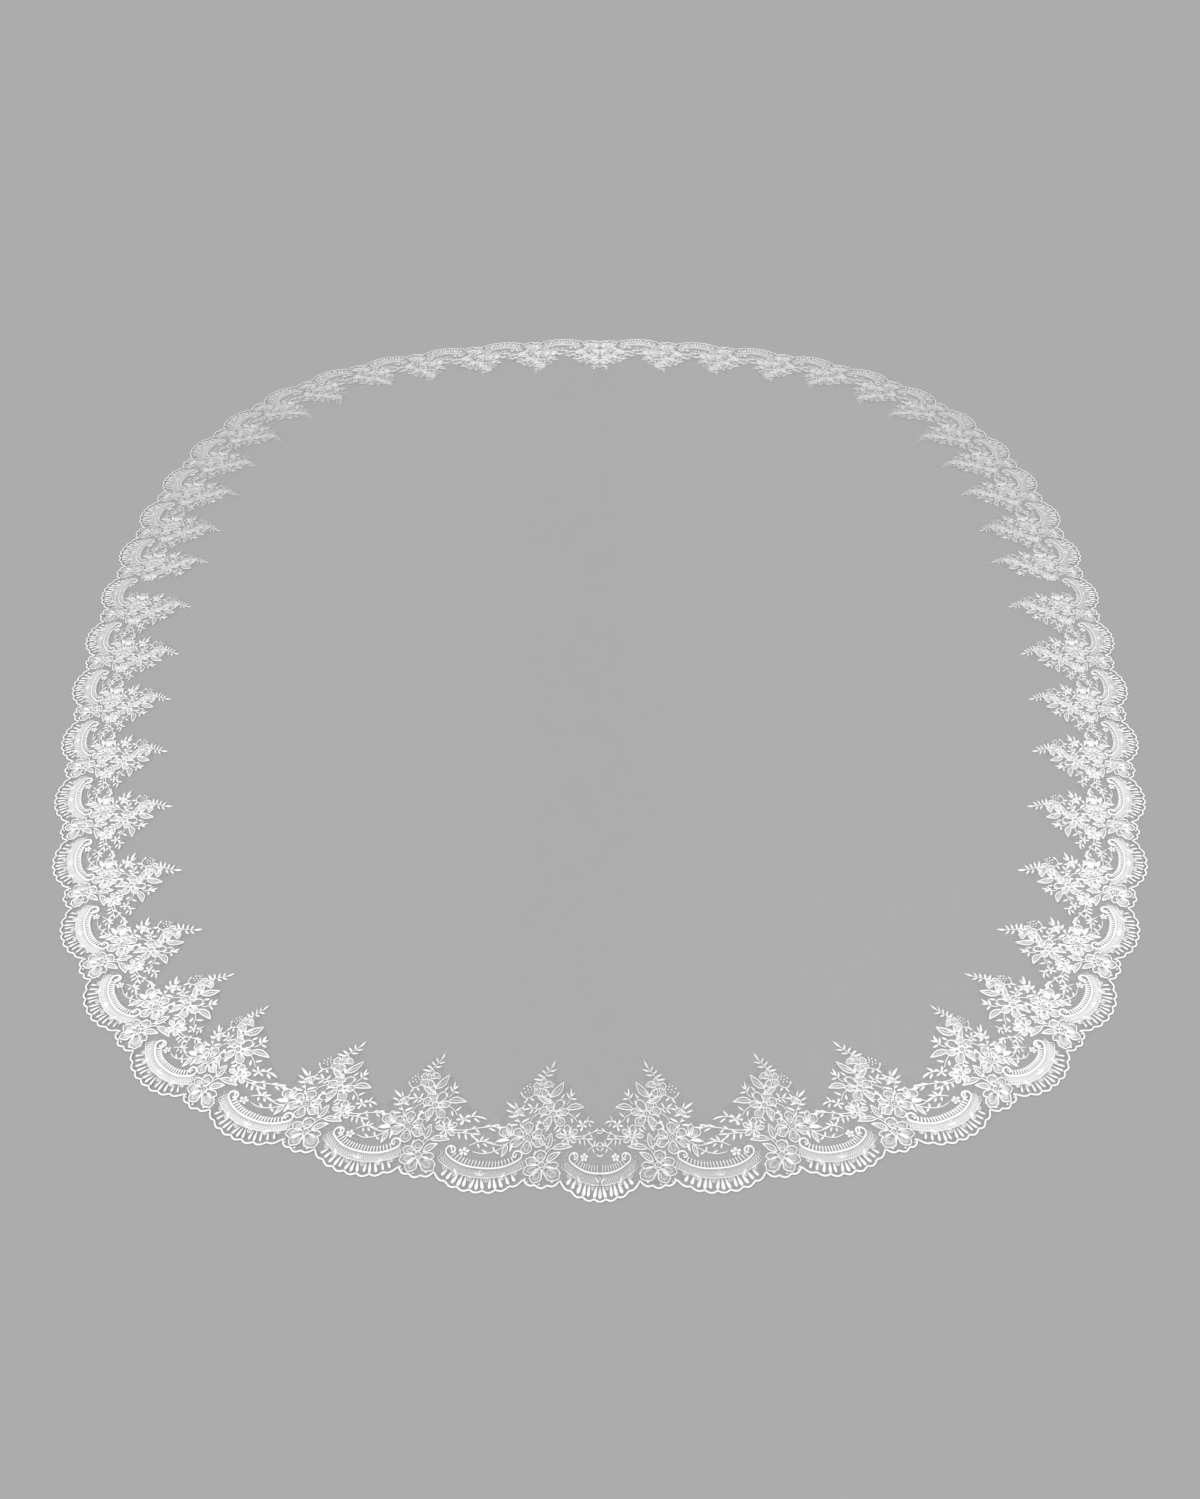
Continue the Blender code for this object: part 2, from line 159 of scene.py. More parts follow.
def swept(path: np.ndarray, half_width: np.ndarray | float, height: np.ndarray | float,
          lift: float, section: np.ndarray, tone: float, closed: bool = False) -> Patch:
    """A section carried along a path: path + side * across * half width, lift + up * height.

    Args:
        path: rows of along and depth.
        half_width: half the section's width, one value or one a point.
        height: the section's height, one value or one a point.
        lift: height of the underside.
        section: rows of across and up.
        tone: brightness of the thread.
        closed: whether the path runs back into its start.

    Returns:
        The closed surface, with a pole, or for three sides a flat face, at each open end.
    """
    count, sides = len(path), len(section)
    if closed:
        ahead = np.roll(path, -1, axis=0) - np.roll(path, 1, axis=0)
    else:
        ahead = np.gradient(path, axis=0)
    ahead /= np.maximum(np.hypot(*ahead.T), 1e-9)[:, None]
    side = np.column_stack([-ahead[:, 1], ahead[:, 0]])
    half = np.broadcast_to(half_width, count)
    tall = np.broadcast_to(height, count)
    across = half[:, None] * section[:, 0]
    flat = path[:, None, :] + side[:, None, :] * across[:, :, None]
    up = lift + tall[:, None] * section[:, 1]
    points = np.concatenate([flat, up[:, :, None]], axis=2).reshape(-1, 3)
    walked = np.concatenate([[0.0], np.cumsum(np.hypot(*np.diff(path, axis=0).T))])
    thread = np.stack([np.broadcast_to(walked[:, None], across.shape), across], axis=2)
    thread = thread.reshape(-1, 2)

    rings = count if closed else count - 1
    ring, corner = np.meshgrid(np.arange(rings), np.arange(sides), indexing="ij")
    onward, turned = (ring + 1) % count, (corner + 1) % sides
    quads = np.stack([ring * sides + corner, ring * sides + turned,
                      onward * sides + turned, onward * sides + corner], axis=2)
    tris = np.empty((0, 3), int)
    if not closed and sides == 3:
        last = (count - 1) * sides
        tris = np.array([(2, 1, 0), (last, last + 1, last + 2)])
    elif not closed:
        corner = np.arange(sides)
        turned, last = (corner + 1) % sides, (count - 1) * sides
        foot, head = count * sides, count * sides + 1
        tris = np.concatenate([
            np.column_stack([np.full(sides, foot), turned, corner]),
            np.column_stack([np.full(sides, head), last + corner, last + turned]),
        ])
        poles = np.column_stack([path[[0, -1]], lift + 0.45 * tall[[0, -1]]])
        points = np.concatenate([points, poles])
        thread = np.concatenate([thread, [(0.0, 0.0), (walked[-1], 0.0)]])
    return Patch(points, thread, np.full(len(points), tone), quads.reshape(-1, 4), tris)


def domed(outline: np.ndarray, height: float, lift: float, axis: np.ndarray,
          rings: np.ndarray, tone: float) -> Patch:
    """A padded shape: the outline drawn in towards its middle as it rises, then a pole.

    Args:
        outline: rows of along and depth, anticlockwise.
        height: how far it rises.
        lift: height of the underside.
        axis: the shape's unit direction from base to tip.
        rings: rows of how far each ring is drawn in and how far it has risen.
        tone: brightness of the thread.

    Returns:
        The closed surface.
    """
    count, middle = len(outline), outline.mean(axis=0)
    flat = middle + rings[:, :1, None] * (outline - middle)
    up = np.broadcast_to((lift + rings[:, 1] * height)[:, None, None], (len(rings), count, 1))
    points = np.concatenate([flat, up], axis=2).reshape(-1, 3)
    poles = [(*middle, lift + 0.92 * height), (*middle, lift)]
    points = np.concatenate([points, poles])
    local = points[:, :2] - middle
    thread = np.column_stack([local @ axis, local @ np.array([-axis[1], axis[0]])])

    ring, corner = np.meshgrid(np.arange(len(rings) - 1), np.arange(count), indexing="ij")
    turned = (corner + 1) % count
    quads = np.stack([ring * count + corner, ring * count + turned,
                      (ring + 1) * count + turned, (ring + 1) * count + corner], axis=2)
    corner = np.arange(count)
    turned, last = (corner + 1) % count, (len(rings) - 1) * count
    top, bottom = len(rings) * count, len(rings) * count + 1
    tris = np.concatenate([
        np.column_stack([last + corner, last + turned, np.full(count, top)]),
        np.column_stack([turned, corner, np.full(count, bottom)]),
    ])
    return Patch(points, thread, np.full(len(points), tone), quads.reshape(-1, 4), tris)


@dataclass(frozen=True)
class Window:
    """The stretch of "along" that a cut length of lace keeps, in millimetres."""

    low: float = -1000.0
    high: float = 1000.0

    def keeps(self, along: float) -> bool:
        """Whether a place lies in the stretch."""
        return self.low <= along <= self.high

    def cut(self, path: np.ndarray) -> list[np.ndarray]:
        """The stretches of a path inside the window, each with a point of its own at the cut.

        Args:
            path: rows of along and depth.

        Returns:
            The stretches that are kept.
        """
        inside = (path[:, 0] >= self.low) & (path[:, 0] <= self.high)
        if inside.all():
            return [path]
        edges = np.flatnonzero(np.diff(inside.astype(int))) + 1
        kept = []
        for first, last in zip(np.r_[0, edges], np.r_[edges, len(path)]):
            if not inside[first]:
                continue
            stretch = [path[first:last]]
            if first > 0:
                stretch.insert(0, self.crossing(path[first - 1], path[first]))
            if last < len(path):
                stretch.append(self.crossing(path[last - 1], path[last]))
            kept.append(np.vstack(stretch))
        return [stretch for stretch in kept if len(stretch) > 1]

    def crossing(self, start: np.ndarray, end: np.ndarray) -> np.ndarray:
        """Where the step from start to end meets the window's edge."""
        limit = self.high if max(start[0], end[0]) > self.high else self.low
        share = (limit - start[0]) / (end[0] - start[0])
        return start + share * (end - start)


@dataclass(frozen=True)
class Cord:
    """A laid cord: the places that it runs through, its width and its height, in mm."""

    places: tuple[Point, ...]
    width: float = 2.0
    height: float = 1.6


@dataclass(frozen=True)
class Leaf:
    """A leaf from base to tip, its width and how far it bends, as a share of its length."""

    base: Point
    tip: Point
    width: float
    bend: float = 0.0
    stitch: Stitch = Stitch.SATIN


@dataclass(frozen=True)
class Petal:
    """A rounded petal from base to tip, its width and its stitch."""

    base: Point
    tip: Point
    width: float
    stitch: Stitch


@dataclass(frozen=True)
class Heart:
    """A flower's heart: a corded ring round a few dots."""

    middle: Point
    radius: float


@dataclass
class Stitcher:
    """Works cords, leaves, petals and dots into the lace, one layer of patches each."""

    window: Window
    bare_edge: tuple[Point, ...] = ()
    fullness: float = 1.0
    net_top: float = 1.45
    cord_height: float = 1.7
    satin_height: float = 1.9
    thread_height: float = 0.6
    outline_width: float = 2.8
    thread_width: float = 1.3
    thread_step: float = 3.7
    close_step: float = 2.9
    small_leaf: float = 21.0
    satin_tone: float = 1.0
    cord_tone: float = 1.0
    thread_tone: float = 0.8
    patches: dict[Layer, list[Patch]] = field(
        default_factory=lambda: {layer: [] for layer in Layer})

    @property
    def thread_share(self) -> float:
        """How wide a filling thread lies: the square of the fullness."""
        return self.fullness ** 2

    def left_off(self, place: Point | np.ndarray) -> bool:
        """Whether a motif there is outside the window or in a join's bare stretch."""
        along, depth = place
        if not self.window.keeps(along):
            return True
        if not self.bare_edge:
            return False
        reach, limit = np.array(self.bare_edge)[::-1].T
        return bool(along > reach[0] and depth > np.interp(along, reach, limit) + 1.0)

    def add(self, layer: Layer, patch: Patch) -> None:
        """Keep a patch, its points held inside the window."""
        patch.points[:, 0] = np.clip(patch.points[:, 0], self.window.low, self.window.high)
        self.patches[layer].append(patch)

    def run(self, path: np.ndarray, width: float, height: float, lift: float = 0.0,
            section: np.ndarray = CORD_SECTION, layer: Layer = Layer.CORDS) -> None:
        """Lay a cord of even width along a path, cut at the window's edges.

        Args:
            path: rows of along and depth.
            width: the cord's width.
            height: the cord's height.
            lift: how far above the net it starts.
            section: the cord's section.
            layer: the piece it belongs to.
        """
        for stretch in self.window.cut(path):
            half = np.full(len(stretch), width * self.fullness / 2)
            half[[0, -1]] *= 0.72
            self.add(layer, swept(stretch, half, height, self.net_top + lift, section,
                                  self.cord_tone))

    def stem(self, cord: Cord) -> None:
        """Lay one free-running stem."""
        path = smooth_path(cord.places, 3 + 2 * (len(cord.places) - 1))
        if not self.left_off(path[len(path) // 2]):
            self.run(path, cord.width, cord.height, section=OUTLINE_SECTION)

    def thread(self, start: np.ndarray, end: np.ndarray, width: float, lift: float = 0.0,
               tone: float = 1.0) -> None:
        """One straight thread, three-sided, from start to end."""
        if self.left_off((start + end) / 2):
            return
        self.add(Layer.FILLINGS, swept(np.vstack([start, end]), width / 2, self.thread_height,
                                       self.net_top + lift, THREAD_SECTION, tone))

    def dot(self, middle: Point, radius: float, sides: int = 6, tone: float = 1.0) -> None:
        """A small padded dot."""
        if self.left_off(middle):
            return
        angle = 2 * np.pi * np.arange(sides) / sides
        reach = radius * math.sqrt(self.fullness)
        outline = np.asarray(middle) + reach * np.column_stack([np.cos(angle), np.sin(angle)])
        self.add(Layer.SATIN, domed(outline, self.satin_height, self.net_top,
                                    np.array([1.0, 0.0]),
                                    BEAD_RINGS if sides < 6 else DOT_RINGS, tone))

    def ring(self, middle: Point, radius: float, width: float, sides: int = 10) -> None:
        """A corded ring: a closed cord on a circle."""
        if self.left_off(middle):
            return
        angle = 2 * np.pi * np.arange(sides) / sides
        path = np.asarray(middle) + radius * np.column_stack([np.cos(angle), np.sin(angle)])
        self.add(Layer.CORDS, swept(path, width * self.fullness / 2, self.cord_height,
                                    self.net_top, OUTLINE_SECTION, self.cord_tone, closed=True))

    def heart(self, heart: Heart) -> None:
        """A flower's heart: a ring, one dot in its middle and five round it."""
        self.ring(heart.middle, heart.radius, self.outline_width * 0.75, sides=8)
        self.dot(heart.middle, heart.radius * 0.3)
        angle = 2 * np.pi * np.arange(5) / 5
        around = np.asarray(heart.middle) + heart.radius * 0.62 * np.column_stack(
            [np.cos(angle), np.sin(angle)])
        for place in around:
            self.dot(tuple(place), heart.radius * 0.17, sides=5)

    def drop(self, fat: Point, point: Point, width: float) -> None:
        """A teardrop: half width is the sine of pi times the root of the way from its fat end."""
        if self.left_off(((fat[0] + point[0]) / 2, (fat[1] + point[1]) / 2)):
            return
        share = np.linspace(0.02, 0.985, 6) ** 1.5
        path = np.asarray(fat) + share[:, None] * (np.asarray(point) - np.asarray(fat))
        full = np.sin(np.pi * np.sqrt(share))
        self.add(Layer.SATIN, swept(path, full * width / self.fullness / 2 + 0.35,
                                    self.satin_height * (0.45 + 0.55 * full), self.net_top,
                                    DROP_SECTION, self.satin_tone))

    def leaf(self, leaf: Leaf) -> None:
        """A leaf: half width is the sine of pi times the way along to the power 0.8.

        Args:
            leaf: the leaf to work, solid with a crease or as an outline with veins.
        """
        base, tip = np.asarray(leaf.base, float), np.asarray(leaf.tip, float)
        if self.left_off(0.4 * base + 0.6 * tip):
            return
        axis = tip - base
        side = np.array([-axis[1], axis[0]])

        def spine(share: np.ndarray) -> np.ndarray:
            """Places on the leaf's bent middle line."""
            bow = leaf.bend * (1 - (2 * share - 1) ** 2)
            return base + share[:, None] * axis + bow[:, None] * side

        if leaf.stitch is Stitch.SATIN:
            share = np.array([0.0, 0.18, 0.45, 0.75, 1.0])
            if np.hypot(*axis) < self.small_leaf:
                share = np.array([0.0, 0.25, 0.65, 1.0])
            full = np.sin(np.pi * share ** 0.8)
            self.add(Layer.SATIN, swept(spine(share), full * leaf.width * self.fullness / 2 + 0.25,
                                        self.satin_height * (0.35 + 0.65 * full), self.net_top,
                                        LEAF_SECTION, self.satin_tone))
            return
        angle = 2 * np.pi * np.arange(12) / 12
        share = (1 + np.cos(angle)) / 2
        unit_side = side / np.hypot(*side)
        wide = 0.5 * leaf.width * np.sin(np.pi * share ** 0.8) * np.sign(np.sin(angle))
        outline = spine(share) + wide[:, None] * unit_side
        self.outline(outline)
        self.run(spine(np.linspace(0.05, 0.85, 4)), self.thread_width * 1.2, self.cord_height,
                 section=THREAD_SECTION, layer=Layer.FILLINGS)
        self.hatch(outline, axis / np.hypot(*axis), 0.5, self.thread_step)

    def outline(self, outline: np.ndarray) -> None:
        """A closed cord round a petal or leaf."""
        self.add(Layer.CORDS, swept(outline, self.outline_width * self.fullness / 2,
                                    self.cord_height, self.net_top, OUTLINE_SECTION,
                                    self.cord_tone, closed=True))

    def hatch(self, outline: np.ndarray, axis: np.ndarray, slant: float, step: float) -> None:
        """Threads across an outline, each from its left border to its right one.

        Each thread keeps one value of way along the axis plus slant times way across, and
        its ends are where the outline's two borders have that value.

        Args:
            outline: rows of along and depth, anticlockwise from the tip.
            axis: unit direction from base to tip.
            slant: how far the threads lean.
            step: from one thread to the next.
        """
        middle = outline.mean(axis=0)
        side = np.array([-axis[1], axis[0]])
        local = np.column_stack([(outline - middle) @ axis, (outline - middle) @ side])
        half = len(outline) // 2
        left, right = local[:half + 1][::-1], np.vstack([local[half:], local[:1]])
        low = max(left[0, 0], right[0, 0]) + 0.16 * np.ptp(local[:, 0])
        high = min(left[-1, 0], right[-1, 0]) - 0.10 * np.ptp(local[:, 0])
        count = max(2, int((high - low) / step))
        for way in np.linspace(low, high, count):
            ends = []
            for border in (left, right):
                order = np.argsort(border[:, 0])
                across = np.interp(way, border[order, 0], border[order, 1]) * 0.92
                ends.append(middle + (way + slant * abs(across) * 0.4) * axis + across * side)
            self.thread(ends[0], ends[1], self.thread_width * self.thread_share,
                        tone=self.thread_tone)

    def rays(self, foot: np.ndarray, outline: np.ndarray, step: float) -> None:
        """Threads that fan out from a petal's foot, thin there and full near its border.

        Args:
            foot: the petal's base.
            outline: rows of along and depth, anticlockwise from the tip.
            step: from one thread to the next at the border.
        """
        half = int(0.36 * len(outline))
        border = np.vstack([outline[-half:], outline[:half + 1]])
        walked = np.concatenate([[0.0], np.cumsum(np.hypot(*np.diff(border, axis=0).T))])
        count = max(3, int(walked[-1] / step))
        for way in np.linspace(0.0, walked[-1], count):
            reach = np.array([np.interp(way, walked, border[:, axis]) for axis in (0, 1)])
            path = foot + np.array([[0.30], [0.90]]) * (reach - foot)
            half = np.array([0.35, 0.5]) * self.thread_width * self.thread_share
            self.add(Layer.FILLINGS, swept(path, half, self.thread_height, self.net_top,
                                           THREAD_SECTION, self.thread_tone))

    def petal(self, petal: Petal) -> None:
        """A petal: a lopsided oval, fuller towards its tip, with a lightly frilled border.

        Way along is half the length times the cosine and way across half the width times
        the sine times one plus a quarter of the cosine, both swelled by 8% of the cosine
        of five times the angle.

        Args:
            petal: the petal to work.
        """
        base, tip = np.asarray(petal.base, float), np.asarray(petal.tip, float)
        if self.left_off((base + tip) / 2):
            return
        length = np.hypot(*(tip - base))
        axis = (tip - base) / length
        side = np.array([-axis[1], axis[0]])
        angle = 2 * np.pi * np.arange(14) / 14
        swell = 1 + 0.08 * np.cos(5 * angle)
        ahead = 0.5 * length * np.cos(angle) * swell
        aside = 0.5 * petal.width * np.sin(angle) * (1 + 0.25 * np.cos(angle)) * swell
        middle = (base + tip) / 2
        outline = middle + ahead[:, None] * axis + aside[:, None] * side
        if petal.stitch is Stitch.SATIN:
            self.add(Layer.SATIN, domed(outline, self.satin_height, self.net_top, axis,
                                        DOME_RINGS, self.satin_tone))
            return
        self.outline(outline)
        if petal.stitch is Stitch.HATCHED:
            self.rays(base, outline, self.thread_step)
            self.add(Layer.FILLINGS, swept(middle + 0.5 * (outline[::2] - middle), 0.8,
                                           self.thread_height * 1.6, self.net_top,
                                           THREAD_SECTION, self.cord_tone, closed=True))
        elif petal.stitch is Stitch.CLOSE:
            self.rays(base, outline, self.close_step)
        else:
            for ring, number in ((0.62, 6), (0.25, 3)):
                around = 2 * np.pi * np.arange(number) / number
                places = middle + ring * 0.5 * (length * np.cos(around)[:, None] * axis
                                                + petal.width * np.sin(around)[:, None] * side)
                for place in places:
                    self.dot(tuple(place), 1.15, sides=5, tone=self.thread_tone)


@dataclass(frozen=True)
class ScallopEdge:
    """The lace's outer edge: one wide fan scallop and one narrow flower scallop a repeat."""

    fan_width: float = 170.0
    flower_width: float = 70.0
    centre_fan_width: float = 151.0
    fan_bulge: float = 29.6
    centre_fan_bulge: float = 38.6
    fan_roundness: float = 2.4
    fan_lobes: int = 7
    flower_bulge: float = 12.0
    flower_roundness: float = 2.0
    flower_lobes: int = 3
    lobe_height: float = 5.6

    @property
    def repeat(self) -> float:
        """Length of one repeat."""
        return self.fan_width + self.flower_width

    def depth(self, along: np.ndarray) -> np.ndarray:
        """Depth of the edge: minus the bulge times one less the share out from the scallop's
        middle to the roundness, and minus a small sine arch a lobe.

        Args:
            along: places along the lace.

        Returns:
            The depth at each place, zero at a notch.
        """
        around = np.mod(along + self.flower_width / 2, self.repeat)
        on_flower = around < self.flower_width
        share = np.where(on_flower, around / self.flower_width,
                         (around - self.flower_width) / self.fan_width)
        bulge = np.where(on_flower, self.flower_bulge, self.fan_bulge)
        power = np.where(on_flower, self.flower_roundness, self.fan_roundness)
        lobes = np.where(on_flower, self.flower_lobes, self.fan_lobes)
        swell = bulge * (1 - np.abs(2 * share - 1) ** power)
        return -swell - self.lobe_height * np.abs(np.sin(np.pi * lobes * share))

    def centre_fan(self, points: np.ndarray) -> np.ndarray:
        """Fit a fan's points to the narrower, fuller fan at the narrow end's centre.

        Along is drawn in towards the flower by the widths' ratio, and depth is lowered by
        the extra bulge, wholly at the edge and not at all 30 mm inside the notches.

        Args:
            points: along, depth and height of the first flower's stitching.

        Returns:
            The same points, moved.
        """
        start = self.flower_width / 2
        beyond = np.maximum(points[:, 0] - start, 0.0)
        share = beyond / self.fan_width
        swell = 1 - np.abs(2 * share - 1) ** self.fan_roundness
        near_edge = np.clip((30.0 - points[:, 1]) / 50.0, 0.0, 1.0)
        drop = (self.centre_fan_bulge - self.fan_bulge) * swell * near_edge * (beyond > 0)
        moved = points.copy()
        moved[:, 0] -= beyond * (1 - self.centre_fan_width / self.fan_width)
        moved[:, 1] -= drop
        return moved


@dataclass(frozen=True)
class FanScallop:
    """A wide scallop: teardrops, a trellis band, a scroll with its ladder, and sprigs."""

    edge: ScallopEdge = ScallopEdge()
    middle: float = 120.0
    drop_depth: float = 27.0
    scroll_depth: float = 20.0
    scroll_reach: float = 65.0
    curl_middle: Point = (60.5, 52.5)
    curl_radius: float = 12.0
    ladder_step: float = 6.6
    ladder_reach: float = 59.4
    bar_reach: tuple[float, ...] = (2.6, 9.0, 13.0, 15.0)
    bar_half: tuple[float, ...] = (1.0, 1.25, 1.8, 1.0)
    trellis_reach: float = 86.0
    trellis_step: float = 4.2
    sprout: tuple[Leaf, ...] = (
        Leaf((120.0, 4.0), (120.0, 17.0), 3.8), Leaf((118.0, 3.0), (109.5, 13.0), 3.8),
        Leaf((122.0, 3.0), (130.5, 13.0), 3.8),
    )
    drops: tuple[tuple[Point, Point, float], ...] = (
        ((12.5, -25.0), (5.5, -1.0), 7.4),
        ((24.5, -22.5), (22.5, 1.0), 6.9),
        ((35.5, -22.0), (29.0, 3.0), 7.8),
        ((47.5, -18.0), (37.5, 5.0), 7.5),
        ((59.0, -10.5), (50.5, 8.0), 7.1),
        ((70.0, -3.5), (60.0, 12.0), 6.8),
    )
    rings: tuple[Point, ...] = ((15.5, -5.5), (45.5, 2.5), (67.0, 14.0))
    sprig_leaves: tuple[Leaf, ...] = (
        Leaf((78.0, 1.0), (71.0, 17.0), 5.0), Leaf((162.0, 1.0), (169.0, 17.0), 5.0),
        Leaf((104.0, 77.0), (108.0, 92.0), 5.0), Leaf((103.0, 76.0), (93.0, 85.0), 5.0),
        Leaf((108.0, 78.0), (120.0, 87.0), 5.0), Leaf((101.0, 73.0), (106.0, 62.0), 4.5),
        Leaf((114.0, 77.0), (128.0, 76.0), 5.0), Leaf((110.0, 75.0), (119.0, 66.0), 4.5),
        Leaf((132.0, 80.0), (161.0, 84.0), 10.0, 0.08), Leaf((166.0, 80.0), (165.0, 58.0), 7.0),
        Leaf((154.0, 76.0), (152.0, 47.0), 9.0, 0.05, Stitch.VEINED),
        Leaf((122.0, 53.0), (110.0, 60.0), 4.5), Leaf((134.0, 58.0), (128.0, 70.0), 4.5),
        Leaf((136.0, 58.0), (147.0, 52.0), 4.5),
    )
    sprig_stems: tuple[Cord, ...] = (
        Cord(((88.0, 66.0), (100.0, 75.0), (113.0, 78.0), (127.0, 73.0), (134.0, 80.0))),
        Cord(((95.0, 54.0), (116.0, 51.0), (138.0, 60.0), (155.0, 74.0))),
        Cord(((127.0, 73.0), (146.0, 72.0), (160.0, 80.0))),
    )
    blossom: tuple[Point, float] = ((82.0, 52.5), 9.5)

    def trellis_foot(self, out: np.ndarray) -> np.ndarray:
        """Depth of the trellis's lower border: 27 times the way out over 80 to the 2.2."""
        return 27.0 * np.abs(out / 80.0) ** 2.2 - 1.0

    def scroll(self, out: np.ndarray) -> np.ndarray:
        """Depth of the scroll cord: 20 plus 25 times the way out over 70 to the 2.6."""
        return self.scroll_depth + 25.0 * np.abs(out / 70.0) ** 2.6

    def curl(self, side: int) -> np.ndarray:
        """The scroll's curl on one side, out round its top and spiralling in.

        The radius falls evenly while the angle turns three quarters and a bit.

        Args:
            side: -1 or 1.

        Returns:
            Rows of way out from the fan's middle and depth.
        """
        share = np.linspace(0.0, 1.0, 14)
        angle = math.radians(-42.0) + share * math.radians(325.0)
        radius = self.curl_radius * (1 - 0.68 * share ** 1.3)
        x, y = self.curl_middle
        return np.column_stack([side * (x + radius * np.cos(angle)), y + radius * np.sin(angle)])

    def work(self, stitcher: Stitcher) -> None:
        """Work the whole fan."""
        self.work_drops(stitcher)
        self.work_trellis(stitcher)
        self.work_scroll(stitcher)
        self.work_sprigs(stitcher)

    def work_drops(self, stitcher: Stitcher) -> None:
        """Teardrops fanned along the scallop, with ring and dot motifs between them."""
        middle = self.middle
        stitcher.drop((middle, -self.drop_depth), (middle, -2.0), 8.0)
        for side in (-1, 1):
            for (fat, fat_depth), (point, point_depth), width in self.drops:
                stitcher.drop((middle + side * fat, fat_depth),
                              (middle + side * point, point_depth), width)
            for out, depth in self.rings:
                place = (middle + side * out, depth)
                stitcher.ring(place, 4.2, 1.5, sides=8)
                stitcher.dot(place, 1.9, sides=6)

    def work_trellis(self, stitcher: Stitcher) -> None:
        """A band of crossing threads between its lower cord and the scroll cord."""
        reach, middle = self.trellis_reach, self.middle
        out = np.linspace(-reach, reach, 28)
        foot = np.column_stack([middle + out, self.trellis_foot(out)])
        stitcher.run(foot, 1.9, stitcher.cord_height, section=THREAD_SECTION)
        for start in np.arange(-reach, reach, self.trellis_step):
            low = self.trellis_foot(np.array(start))
            for lean, lift in ((-11.0, 0.0), (11.0, 0.25)):
                end = start + lean
                if abs(end) <= reach:
                    high = self.scroll(np.clip(end, -78.0, 78.0))
                    stitcher.thread(np.array([middle + start, low]),
                                    np.array([middle + end, high]),
                                    1.4 * stitcher.thread_share, lift)
        for leaf in self.sprout:
            stitcher.leaf(leaf)

    def work_scroll(self, stitcher: Stitcher) -> None:
        """The thick scroll cord with a curl at each end, and the ladder of bars inside it."""
        middle = self.middle
        out = np.linspace(-self.scroll_reach, self.scroll_reach, 27)
        low = np.column_stack([out, self.scroll(out)])
        path = np.vstack([self.curl(-1)[::-1], low, self.curl(1)])
        path[:, 0] += middle
        stitcher.run(path, 4.2, 2.2, section=OUTLINE_SECTION)
        for side in (-1, 1):
            x, y = self.curl_middle
            stitcher.dot((middle + side * (x - 1.0), y + 1.0), 2.4, sides=7)
        slope = np.gradient(self.scroll(out), out)
        for place in np.arange(-self.ladder_reach, self.ladder_reach + 1, self.ladder_step):
            rise = np.interp(place, out, slope)
            across = np.array([-rise, 1.0]) / math.hypot(rise, 1.0)
            root = np.array([middle + place, float(self.scroll(np.array(place)))])
            bar = root + across * np.array(self.bar_reach)[:, None]
            if not stitcher.left_off(root - (0.0, 4.0)):
                half = np.array(self.bar_half) * stitcher.thread_share
                stitcher.add(Layer.SATIN, swept(bar, half, stitcher.satin_height,
                                                stitcher.net_top, OUTLINE_SECTION, 1.0))

    def work_sprigs(self, stitcher: Stitcher) -> None:
        """The blossom and leafy sprigs that fill the scroll."""
        for leaf in self.sprig_leaves:
            stitcher.leaf(leaf)
        for stem in self.sprig_stems:
            stitcher.stem(stem)
        (x, y), radius = self.blossom
        for turn in 2 * np.pi * (np.arange(5) + 0.25) / 5:
            way = np.array([math.cos(turn), math.sin(turn)])
            stitcher.petal(Petal(tuple((x, y) + way * 2.6), tuple((x, y) + way * radius), 6.4,
                                 Stitch.SATIN))
        stitcher.ring((x, y), 2.4, 1.3, sides=8)


